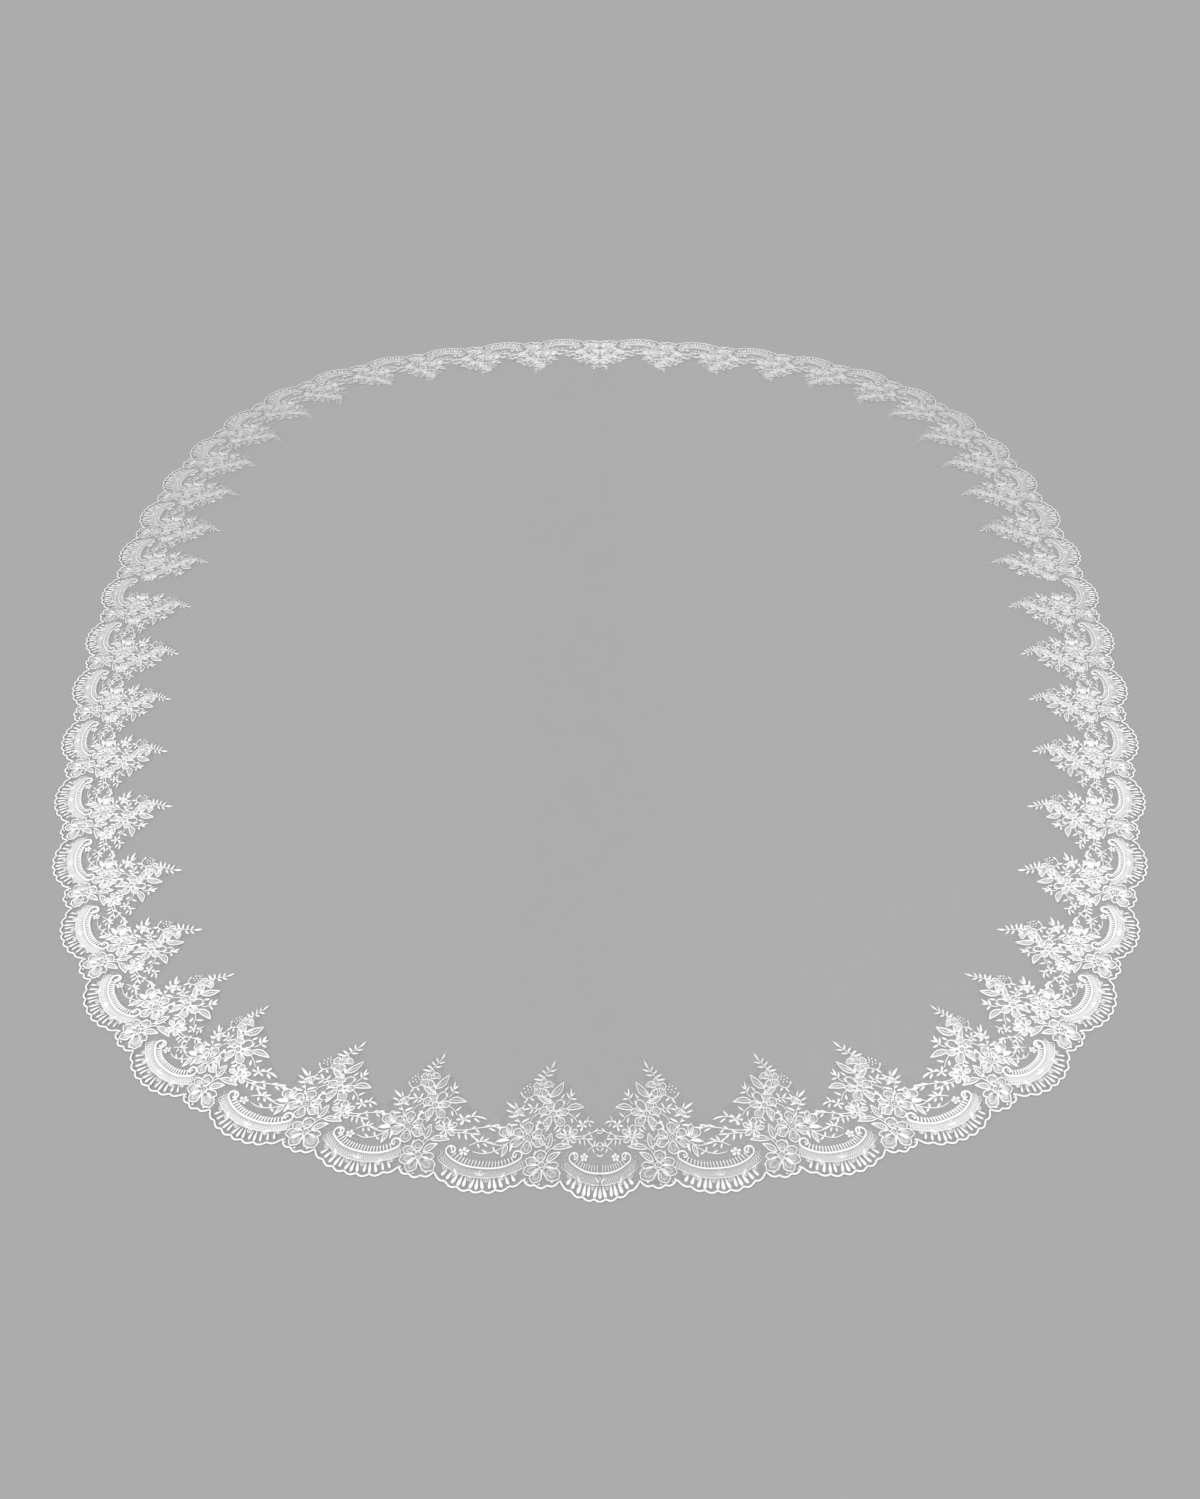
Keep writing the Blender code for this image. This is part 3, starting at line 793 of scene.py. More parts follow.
@dataclass(frozen=True)
class FlowerScallop:
    """A narrow scallop and the spray of flowers, buds and leaves that rises from it."""

    petals: tuple[Petal, ...] = (
        # the scallop's own flower
        Petal((-9.0, 31.0), (-37.0, 16.0), 22.0, Stitch.HATCHED),
        Petal((-8.0, 26.0), (-15.0, -4.0), 22.0, Stitch.HATCHED),
        Petal((0.0, 28.0), (31.0, 6.0), 26.0, Stitch.HATCHED),
        Petal((2.0, 35.0), (27.0, 34.0), 13.0, Stitch.DOTTED),
        Petal((-10.0, 37.0), (-38.0, 43.0), 17.0, Stitch.HATCHED),
        Petal((-8.0, 41.0), (-14.0, 65.0), 22.0, Stitch.HATCHED),
        # the broad flower
        Petal((-36.0, 89.0), (-10.0, 78.0), 19.0, Stitch.CLOSE),
        Petal((-44.0, 84.0), (-41.0, 57.0), 21.0, Stitch.HATCHED),
        Petal((-53.0, 90.0), (-77.0, 74.0), 19.0, Stitch.HATCHED),
        Petal((-55.0, 97.0), (-78.0, 107.0), 17.0, Stitch.CLOSE),
        Petal((-46.0, 102.0), (-50.0, 126.0), 20.0, Stitch.HATCHED),
        Petal((-37.0, 97.0), (-18.0, 110.0), 15.0, Stitch.CLOSE),
        # the tulip bud
        Petal((-84.0, 91.0), (-107.0, 110.0), 19.0, Stitch.HATCHED),
        Petal((-83.0, 92.0), (-93.0, 121.0), 11.0, Stitch.CLOSE),
        # the rosebud
        Petal((-88.0, 142.0), (-68.0, 154.0), 15.0, Stitch.HATCHED),
        # the cluster flower
        Petal((-7.0, 149.0), (-32.0, 157.0), 18.0, Stitch.HATCHED),
        Petal((-4.0, 155.0), (-14.0, 178.0), 16.0, Stitch.HATCHED),
        Petal((3.0, 155.0), (15.0, 180.0), 18.0, Stitch.DOTTED),
        Petal((7.0, 149.0), (33.0, 155.0), 15.0, Stitch.HATCHED),
        Petal((5.0, 142.0), (26.0, 123.0), 18.0, Stitch.HATCHED),
        Petal((-4.0, 141.0), (-12.0, 119.0), 16.0, Stitch.HATCHED),
        # the crown flower
        Petal((-42.0, 210.0), (-58.0, 213.0), 15.0, Stitch.CLOSE),
        Petal((-37.0, 214.0), (-36.0, 230.0), 15.0, Stitch.HATCHED),
        Petal((-32.0, 211.0), (-15.0, 220.0), 14.0, Stitch.CLOSE),
        Petal((-41.0, 205.0), (-52.0, 191.0), 15.0, Stitch.HATCHED),
        Petal((-33.0, 204.0), (-22.0, 189.0), 15.0, Stitch.CLOSE),
        # the small flower
        Petal((68.0, 126.0), (60.0, 135.0), 5.5, Stitch.SATIN),
        Petal((66.0, 123.0), (56.0, 121.0), 5.0, Stitch.SATIN),
        Petal((70.0, 120.0), (67.0, 110.0), 5.5, Stitch.SATIN),
        Petal((73.0, 123.0), (82.0, 119.0), 5.0, Stitch.SATIN),
        Petal((72.0, 127.0), (78.0, 135.0), 5.5, Stitch.SATIN),
        # the flower beside the trellis
        Petal((38.0, 102.0), (33.0, 123.0), 12.0, Stitch.CLOSE),
        Petal((43.0, 102.0), (59.0, 112.0), 10.0, Stitch.CLOSE),
        Petal((34.0, 99.0), (15.0, 99.0), 9.0, Stitch.CLOSE),
        Petal((37.0, 94.0), (31.0, 79.0), 10.0, Stitch.CLOSE),
        Petal((43.0, 96.0), (58.0, 86.0), 10.0, Stitch.CLOSE),
    )
    leaves: tuple[Leaf, ...] = (
        Leaf((3.0, 42.0), (28.0, 63.0), 13.0, 0.06, Stitch.VEINED),
        Leaf((1.0, 70.0), (4.0, 104.0), 15.0, 0.05, Stitch.VEINED),
        Leaf((11.0, 71.0), (51.0, 75.0), 13.0, 0.08, Stitch.VEINED),
        Leaf((28.0, 160.0), (69.0, 164.0), 14.0, 0.10, Stitch.VEINED),
        Leaf((-12.0, 187.0), (13.0, 223.0), 17.0, -0.08, Stitch.VEINED),
        Leaf((-4.0, 175.0), (-44.0, 188.0), 11.0, 0.06, Stitch.VEINED),
        # sepals of the flower beside the trellis
        Leaf((41.0, 104.0), (46.0, 124.0), 5.0), Leaf((46.0, 99.0), (66.0, 98.0), 4.5),
        Leaf((34.0, 103.0), (24.0, 116.0), 4.5), Leaf((40.0, 93.0), (43.0, 79.0), 4.5),
        # leaves by the small flower and on the branches
        Leaf((50.0, 141.0), (63.0, 153.0), 5.0), Leaf((81.0, 131.0), (87.0, 147.0), 4.5),
        Leaf((86.0, 133.0), (106.0, 127.0), 5.0, 0.08), Leaf((85.0, 129.0), (96.0, 119.0), 5.0),
        Leaf((104.0, 109.0), (116.0, 118.0), 4.5), Leaf((114.0, 113.0), (130.0, 119.0), 4.5),
        Leaf((122.0, 111.0), (139.0, 111.0), 4.5), Leaf((112.0, 109.0), (125.0, 102.0), 4.5),
        Leaf((92.0, 104.0), (100.0, 96.0), 4.5), Leaf((86.0, 103.0), (92.0, 112.0), 4.5),
        Leaf((66.0, 92.0), (70.0, 79.0), 5.0), Leaf((77.0, 92.0), (82.0, 77.0), 5.0),
        Leaf((86.0, 92.0), (95.0, 82.0), 5.0), Leaf((88.0, 93.0), (104.0, 93.0), 5.0),
        Leaf((72.0, 94.0), (82.0, 100.0), 4.5),
        # side sprig over the cluster flower
        Leaf((34.0, 188.0), (32.0, 210.0), 5.5), Leaf((32.0, 184.0), (22.0, 199.0), 5.0),
        Leaf((35.0, 184.0), (51.0, 183.0), 5.0), Leaf((34.0, 190.0), (44.0, 201.0), 5.0),
        # spray by the cluster flower
        Leaf((-50.0, 161.0), (-64.0, 170.0), 6.0), Leaf((-42.0, 161.0), (-38.0, 174.0), 6.0),
        Leaf((-46.0, 158.0), (-54.0, 145.0), 6.0), Leaf((-56.0, 158.0), (-71.0, 155.0), 6.0),
        Leaf((-36.0, 158.0), (-44.0, 148.0), 5.5),
        # rosebud
        Leaf((-86.0, 155.0), (-114.0, 171.0), 6.5), Leaf((-90.0, 147.0), (-109.0, 152.0), 5.0),
        Leaf((-84.0, 157.0), (-94.0, 172.0), 5.0), Leaf((-74.0, 156.0), (-68.0, 168.0), 5.0),
        Leaf((-76.0, 143.0), (-60.0, 141.0), 6.0), Leaf((-81.0, 138.0), (-99.0, 137.0), 6.0),
        Leaf((-67.0, 125.0), (-48.0, 138.0), 6.5), Leaf((-71.0, 128.0), (-84.0, 130.0), 5.5),
        Leaf((-72.0, 120.0), (-94.0, 118.0), 5.5),
        # bud foot, calyx and berries
        Leaf((-80.0, 92.0), (-76.0, 108.0), 5.0), Leaf((-66.0, 182.0), (-72.0, 169.0), 6.0),
        Leaf((-60.0, 183.0), (-49.0, 176.0), 5.5), Leaf((-80.0, 188.0), (-88.0, 196.0), 5.0),
        # spray at the tip
        Leaf((-42.0, 226.0), (-64.0, 228.0), 5.5), Leaf((-37.0, 233.0), (-57.0, 240.0), 5.0),
        Leaf((-32.0, 241.0), (-48.0, 251.0), 5.0), Leaf((-27.0, 249.0), (-38.0, 262.0), 5.0),
        Leaf((-31.0, 237.0), (-12.0, 240.0), 5.0), Leaf((-24.0, 247.0), (-6.0, 253.0), 5.0),
        Leaf((-21.0, 256.0), (-14.0, 276.0), 6.5),
        # small fillers between the flowers
        Leaf((-9.0, 77.0), (-15.0, 101.0), 12.0, 0.04, Stitch.VEINED),
        Leaf((-27.0, 108.0), (-33.0, 124.0), 7.0), Leaf((-58.0, 112.0), (-70.0, 122.0), 6.0),
        Leaf((12.0, 106.0), (24.0, 118.0), 5.5), Leaf((46.0, 128.0), (40.0, 142.0), 6.0),
        Leaf((-18.0, 126.0), (-34.0, 130.0), 6.0), Leaf((-12.0, 186.0), (-20.0, 200.0), 6.0),
        Leaf((12.0, 184.0), (20.0, 196.0), 5.0), Leaf((-105.0, 110.0), (-118.0, 117.0), 5.0),
        Leaf((-22.0, 66.0), (-24.0, 50.0), 5.0), Leaf((8.0, 112.0), (14.0, 124.0), 5.0),
        Leaf((-10.0, 108.0), (-2.0, 118.0), 5.0), Leaf((-30.0, 118.0), (-26.0, 136.0), 6.0),
        Leaf((-28.0, 138.0), (-18.0, 148.0), 5.0), Leaf((20.0, 168.0), (22.0, 182.0), 5.0),
        Leaf((-22.0, 176.0), (-26.0, 166.0), 5.0), Leaf((54.0, 64.0), (62.0, 52.0), 4.5),
    )
    stems: tuple[Cord, ...] = (
        Cord(((0.0, 56.0), (4.0, 66.0), (12.0, 72.0))),
        Cord(((-4.0, 62.0), (0.0, 76.0), (3.0, 98.0))),
        Cord(((-48.0, 122.0), (-44.0, 138.0), (-30.0, 150.0))),
        Cord(((-82.0, 138.0), (-72.0, 128.0), (-62.0, 112.0))),
        Cord(((-8.0, 172.0), (-20.0, 180.0), (-42.0, 192.0))),
        Cord(((-6.0, 172.0), (-12.0, 188.0), (-2.0, 204.0))),
        Cord(((28.0, 152.0), (44.0, 144.0), (58.0, 130.0))),
        Cord(((58.0, 97.0), (76.0, 100.0), (100.0, 108.0), (120.0, 112.0), (134.0, 106.0))),
        Cord(((58.0, 92.0), (76.0, 93.0), (94.0, 92.0))),
        Cord(((26.0, 170.0), (33.0, 180.0), (34.0, 192.0))),
        Cord(((-28.0, 156.0), (-44.0, 160.0), (-62.0, 156.0))),
        Cord(((-74.0, 88.0), (-62.0, 92.0), (-54.0, 94.0))),
        Cord(((-84.0, 190.0), (-68.0, 181.0), (-52.0, 190.0)), 2.4),
        Cord(((-42.0, 224.0), (-33.0, 238.0), (-25.0, 250.0), (-20.0, 260.0)), 1.8),
        Cord(((-16.0, 112.0), (-4.0, 118.0), (2.0, 134.0))),
        Cord(((18.0, 120.0), (22.0, 106.0), (34.0, 99.0))),
        Cord(((74.0, 128.0), (84.0, 132.0), (98.0, 131.0))),
    )
    hearts: tuple[Heart, ...] = (
        Heart((-5.0, 34.0), 6.0), Heart((-46.0, 93.0), 7.0), Heart((39.0, 99.0), 4.5),
        Heart((0.0, 148.0), 6.5), Heart((-37.0, 210.0), 5.5), Heart((70.0, 123.0), 3.2),
        Heart((-78.0, 147.0), 6.0), Heart((-12.0, 214.0), 4.0),
    )
    dots: tuple[tuple[Point, float], ...] = (
        ((-32.0, 3.0), 2.6), ((-4.0, -7.0), 2.4), ((20.0, -1.0), 2.6), ((-27.0, -2.0), 1.8),
        ((33.0, 18.0), 2.2), ((-81.0, 204.0), 2.4), ((-76.0, 196.0), 2.2), ((-75.0, 210.0), 2.4),
        ((-71.0, 202.0), 2.2), ((-67.0, 209.0), 2.4), ((-66.0, 196.0), 2.0),
        ((-62.0, 203.0), 2.2), ((-70.0, 215.0), 2.0), ((-60.0, 210.0), 1.8),
        ((-18.0, 94.0), 2.0), ((12.0, 88.0), 1.8), ((24.0, 60.0), 1.8), ((-62.0, 122.0), 1.8),
    )

    def work(self, stitcher: Stitcher) -> None:
        """Work the whole spray."""
        for petal in self.petals:
            stitcher.petal(petal)
        for leaf in self.leaves:
            stitcher.leaf(leaf)
        for stem in self.stems:
            stitcher.stem(stem)
        for heart in self.hearts:
            stitcher.heart(heart)
        for middle, radius in self.dots:
            stitcher.dot(middle, radius, sides=7)


@dataclass
class NotchLine:
    """The egg-shaped line through the notches between the scallops.

    places are distance from the centre line and distance past the widest line, as in the
    part, a closed cubic curve runs through them, and shift moves the widest line off the
    middle of the veil's length. sprays has, at places counted in repeats from the first
    flower, how far in mm a tip would lean back to the narrow end, and the spray's share of
    the pattern's full depth.
    """

    edge: ScallopEdge
    flowers: int = 24
    steps: int = 400
    shift: float = 0.6003
    tip_depth: float = 274.0
    sprays: tuple[tuple[float, float, float], ...] = (
        (-0.46, 0, 1.03), (-0.29, 20, 1.03), (0.06, 24, 1.03), (0.30, 34, 1.03),
        (0.48, 38, 1.03), (0.73, -10, 1.02), (1.06, 0, 1.02), (1.71, 28, 1.00),
        (2.06, 33, 0.985), (2.44, 36, 0.97), (2.71, -19, 0.96), (3.06, -54, 0.955),
        (3.44, -30, 0.96), (3.71, 18, 0.965), (4.0, -8, 0.965), (5.0, 20, 0.93),
        (6.0, 14, 0.92), (7.0, -12, 0.91), (8.0, -10, 0.87), (9.0, -12, 0.86),
        (10.0, 6, 0.875), (11.0, -12, 0.89), (11.5, 0, 0.91), (12.0, -40, 0.93),
        (13.0, 0, 0.92), (14.0, -20, 0.91), (15.0, -8, 0.895), (16.0, -6, 0.88),
        (17.0, -16, 0.85), (18.0, 44, 0.87), (19.0, -20, 0.86), (20.0, 34, 0.91),
        (21.0, 26, 0.93), (22.0, 36, 1.00), (23.0, 20, 0.95), (23.15, 0, 0.95),
    )
    places: tuple[Point, ...] = (
        (0.000, -2.552), (0.500, -2.494), (0.900, -2.297), (1.126, -2.000), (1.310, -1.500),
        (1.438, -0.800), (1.467, 0.000), (1.353, 0.600), (1.050, 1.044), (0.600, 1.271),
        (0.000, 1.365),
    )

    def __post_init__(self) -> None:
        """Work out the curve, its length and its direction at each point."""
        half = np.array(self.places)
        whole = np.concatenate([half, half[-2:0:-1] * (-1, 1)])
        spans = np.hypot(*(np.roll(whole, -1, axis=0) - whole).T)
        kept = (len(half) - 1) * self.steps + 1
        self.x = self.closed_cubic(whole[:, 0], spans)[:kept]
        self.y = self.closed_cubic(whole[:, 1], spans)[:kept]
        walked = np.hypot(np.diff(self.x), np.diff(self.y))
        self.arc = np.concatenate([[0.0], np.cumsum(walked)])
        slope = np.gradient(self.x, self.arc), np.gradient(self.y, self.arc)
        length = np.hypot(*slope)
        self.ahead_x, self.ahead_y = slope[0] / length, slope[1] / length
        self.half_length = (self.edge.centre_fan_width / 2
                            + self.flowers * self.edge.flower_width
                            + (self.flowers - 1) * self.edge.fan_width)
        self.ease = self.arc[-1] / (self.half_length * MM)

    def closed_cubic(self, values: np.ndarray, spans: np.ndarray) -> np.ndarray:
        """The closed cubic curve through the values, its slopes and bends agreeing at each.

        Args:
            values: the value at each place.
            spans: the distance from each place to the next.

        Returns:
            The curve, with steps points a span.
        """
        count, before, after = len(values), np.roll(spans, 1), spans
        rows = np.arange(count)
        system = np.zeros((count, count))
        system[rows, rows - 1] += before
        system[rows, rows] += 2 * (before + after)
        system[rows, (rows + 1) % count] += after
        rise = (np.roll(values, -1) - values) / after
        bend = np.linalg.solve(system, 6 * (rise - np.roll(rise, 1)))[:, None]
        share = np.arange(self.steps) / self.steps
        pull = spans[:, None] ** 2 / 6
        return (values[:, None] * (1 - share) + np.roll(values, -1)[:, None] * share
                + pull * bend * ((1 - share) ** 3 - (1 - share))
                + pull * np.roll(bend, -1, axis=0) * (share ** 3 - share)).ravel()

    def flower(self, number: int) -> float:
        """Distance along the lace, in mm, from the narrow end's centre to a flower's middle."""
        return (self.edge.centre_fan_width / 2 + self.edge.flower_width / 2
                + (number - 1) * self.edge.repeat)

    def as_laid(self, station: np.ndarray, depth: np.ndarray) -> tuple[np.ndarray, np.ndarray]:
        """Lean and draw in the sprays: both grow evenly with the depth inside the notches.

        Args:
            station: distance along the lace from the narrow end's centre, in mm.
            depth: distance inwards, in mm.

        Returns:
            The station and depth where the point lies.
        """
        places, leans, shares = np.array(self.sprays).T
        repeats = (station - self.flower(1)) / self.edge.repeat
        inward = np.maximum(depth, 0.0)
        lean = np.interp(repeats, places, leans) * inward / self.tip_depth
        return station - lean, depth + inward * (np.interp(repeats, places, shares) - 1)

    def carry(self, station: np.ndarray, depth: np.ndarray) -> tuple[np.ndarray, np.ndarray]:
        """Carry lace points to the floor: the notch line's point plus depth along its inner normal.

        Args:
            station: distance along the lace from the narrow end's centre, in mm.
            depth: distance inwards, in mm.

        Returns:
            x and y on the +X side, in metres.
        """
        station, depth = self.as_laid(station, depth)
        arc = station * MM * self.ease
        x, y = np.interp(arc, self.arc, self.x), np.interp(arc, self.arc, self.y)
        ahead_x = np.interp(arc, self.arc, self.ahead_x)
        ahead_y = np.interp(arc, self.arc, self.ahead_y)
        return x - ahead_y * depth * MM, y + ahead_x * depth * MM + self.shift


@dataclass(frozen=True)
class ThreadFinish:
    """Off-white embroidery thread: fine stitches across its run and a soft sheen."""

    name: str
    colour: tuple[float, float, float] = (0.94, 0.94, 0.935)
    # Colour that low brightness mixes towards, painted shade along the lace included.
    shade: tuple[float, float, float] = (0.60, 0.60, 0.605)
    roughness: float = 0.55
    sheen: float = 0.25
    stitch_width: float = 0.00055
    bump: float = 0.35

    def material(self) -> bpy.types.Material:
        """Make the finish.

        Returns:
            The material: stitches from the thread map, a slow random change of brightness,
            and painted shade: the point attribute, each thread's own brightness times the
            painted shade along the lace, mixes the colour towards the shade colour.
        """
        material, nodes, links, shader = new_material(self.name)
        shader.inputs["Roughness"].default_value = self.roughness
        shader.inputs["Sheen Weight"].default_value = self.sheen
        shader.inputs["Sheen Roughness"].default_value = 0.4
        thread = nodes.new("ShaderNodeUVMap")
        thread.uv_map = "thread"
        wave = nodes.new("ShaderNodeTexWave")
        wave.wave_type = "BANDS"
        wave.bands_direction = "X"
        wave.inputs["Scale"].default_value = 0.32 / self.stitch_width
        wave.inputs["Distortion"].default_value = 1.2
        wave.inputs["Detail"].default_value = 1.0
        links.new(thread.outputs["UV"], wave.inputs["Vector"])
        bump = nodes.new("ShaderNodeBump")
        bump.inputs["Strength"].default_value = self.bump
        bump.inputs["Distance"].default_value = 0.0002
        links.new(wave.outputs["Fac"], bump.inputs["Height"])
        links.new(bump.outputs["Normal"], shader.inputs["Normal"])

        place = nodes.new("ShaderNodeTexCoord")
        cloud = nodes.new("ShaderNodeTexNoise")
        cloud.inputs["Scale"].default_value = 34.0
        cloud.inputs["Detail"].default_value = 3.0
        links.new(place.outputs["Object"], cloud.inputs["Vector"])
        # The point attribute carries each thread's own brightness times the painted shade along the
        # lace.
        tone = nodes.new("ShaderNodeAttribute")
        tone.attribute_name = "tone"
        mixed = nodes.new("ShaderNodeMath")
        mixed.operation = "MULTIPLY"
        links.new(tone.outputs["Fac"], mixed.inputs[0])
        spread = nodes.new("ShaderNodeMapRange")
        spread.inputs["From Min"].default_value = 0.25
        spread.inputs["From Max"].default_value = 0.75
        spread.inputs["To Min"].default_value = 0.84
        spread.inputs["To Max"].default_value = 1.0
        links.new(cloud.outputs["Fac"], spread.inputs["Value"])
        links.new(spread.outputs["Result"], mixed.inputs[1])
        colour = nodes.new("ShaderNodeMix")
        colour.data_type = "RGBA"
        colour.inputs["A"].default_value = (*self.shade, 1.0)
        colour.inputs["B"].default_value = (*self.colour, 1.0)
        links.new(mixed.outputs["Value"], colour.inputs["Factor"])
        links.new(colour.outputs["Result"], shader.inputs["Base Color"])
        return material


@dataclass(frozen=True)
class NetFinish:
    """Fine hexagonal net: soft yarn along the borders of six-sided cells, open between."""

    name: str
    cell: float
    yarn: float
    colour: tuple[float, float, float] = (0.62, 0.62, 0.63)
    roughness: float = 0.6

    def material(self) -> bpy.types.Material:
        """Make the finish.

        A point's place in its cell is found on two crossing grids of cell middles, half a
        cell apart, and the nearer middle counts. Its six-sided distance is the larger of
        the way along x and half of that plus 0.866 of the way along y. The yarn lies where
        that is within half a yarn of the cell's border.

        Returns:
            The material, clear between the yarns.
        """
        material, nodes, links, shader = new_material(self.name)
        shader.inputs["Base Color"].default_value = (*self.colour, 1.0)
        shader.inputs["Roughness"].default_value = self.roughness
        shader.inputs["Sheen Weight"].default_value = 0.2
        place = nodes.new("ShaderNodeTexCoord")

        def vector(operation: str, first, second) -> bpy.types.Node:
            """A vector sum, with each input a socket or a constant."""
            node = nodes.new("ShaderNodeVectorMath")
            node.operation = operation
            for socket, value in zip(node.inputs, (first, second)):
                if isinstance(value, bpy.types.NodeSocket):
                    links.new(value, socket)
                elif value is not None:
                    socket.default_value = value
            return node

        def number(operation: str, first, second) -> bpy.types.Node:
            """A plain sum, with each input a socket or a constant."""
            node = nodes.new("ShaderNodeMath")
            node.operation = operation
            for socket, value in zip(node.inputs, (first, second)):
                if isinstance(value, bpy.types.NodeSocket):
                    links.new(value, socket)
                elif value is not None:
                    socket.default_value = value
            return node

        across, up = self.cell, self.cell * math.sqrt(3.0)
        flat = vector("MULTIPLY", place.outputs["Object"], (1.0, 1.0, 0.0))
        moved = vector("ADD", flat.outputs[0], (across * 4000, up * 4000, 0.0))
        half = (across / 2, up / 2, 0.0)
        near = []
        for offset in ((0.0, 0.0, 0.0), half):
            start = vector("SUBTRACT", moved.outputs[0], offset)
            inside = vector("MODULO", start.outputs[0], (across, up, 1.0))
            centred = vector("SUBTRACT", inside.outputs[0], half)
            near.append((vector("ABSOLUTE", centred.outputs[0], None),
                         vector("LENGTH", centred.outputs[0], None)))
        distances = []
        for outward, _ in near:
            slanted = vector("DOT_PRODUCT", outward.outputs[0], (0.5, math.sqrt(3.0) / 2, 0.0))
            level = vector("DOT_PRODUCT", outward.outputs[0], (1.0, 0.0, 0.0))
            distances.append(number("MAXIMUM", slanted.outputs["Value"], level.outputs["Value"]))
        nearer = number("MINIMUM", distances[0].outputs[0], distances[1].outputs[0])
        on_yarn = number("GREATER_THAN", nearer.outputs[0], across / 2 - self.yarn / 2)
        links.new(on_yarn.outputs[0], shader.inputs["Alpha"])
        return material


@dataclass(frozen=True)
class FloorFinish:
    """Plain pale studio floor, matt."""

    name: str = "plain_floor"
    colour: tuple[float, float, float] = (0.3353, 0.3353, 0.3353)

    def material(self) -> bpy.types.Material:
        """Make the finish, plain and even."""
        material, nodes, links, shader = new_material(self.name)
        shader.inputs["Roughness"].default_value = 0.95
        shader.inputs["Specular IOR Level"].default_value = 0.0
        shader.inputs["Base Color"].default_value = (*self.colour, 1.0)
        return material


def new_material(name: str) -> tuple:
    """A new material and its node tree's parts.

    Args:
        name: the finish's name.

    Returns:
        The material, its nodes, its links and its shader.
    """
    material = bpy.data.materials.new(name)
    material.use_nodes = True
    tree = material.node_tree
    return material, tree.nodes, tree.links, tree.nodes["Principled BSDF"]


def make_piece(name: str, points: np.ndarray, quads: np.ndarray, tris: np.ndarray,
               material: bpy.types.Material, thread: np.ndarray | None = None,
               tone: np.ndarray | None = None) -> bpy.types.Object:
    """Put arrays of points and faces into a new piece at the origin.

    Args:
        name: the piece's name.
        points: rows of x, y and z in metres.
        quads: rows of four corners.
        tris: rows of three corners.
        material: the finish.
        thread: the thread map's row for each point, in metres.
        tone: the thread's brightness at each point, painted shade along the lace included.

    Returns:
        The piece.
    """
    mesh = bpy.data.meshes.new(name)
    corners = np.concatenate([quads.ravel(), tris.ravel()]).astype(np.int32)
    sizes = np.concatenate([np.full(len(quads), 4), np.full(len(tris), 3)]).astype(np.int32)
    starts = np.concatenate([[0], np.cumsum(sizes)[:-1]]).astype(np.int32)
    mesh.vertices.add(len(points))
    mesh.vertices.foreach_set("co", points.astype(np.float32).ravel())
    mesh.loops.add(len(corners))
    mesh.loops.foreach_set("vertex_index", corners)
    mesh.polygons.add(len(sizes))
    mesh.polygons.foreach_set("loop_start", starts)
    mesh.polygons.foreach_set("use_smooth", np.ones(len(sizes), bool))
    if thread is not None:
        layer = mesh.uv_layers.new(name="thread")
        layer.data.foreach_set("uv", thread[corners].astype(np.float32).ravel())
    if tone is not None:
        shade = mesh.attributes.new("tone", "FLOAT", "POINT")
        shade.data.foreach_set("value", tone.astype(np.float32))
    mesh.materials.append(material)
    mesh.update(calc_edges=True)
    mesh.validate()
    piece = bpy.data.objects.new(name, mesh)
    bpy.context.scene.collection.objects.link(piece)
    return piece


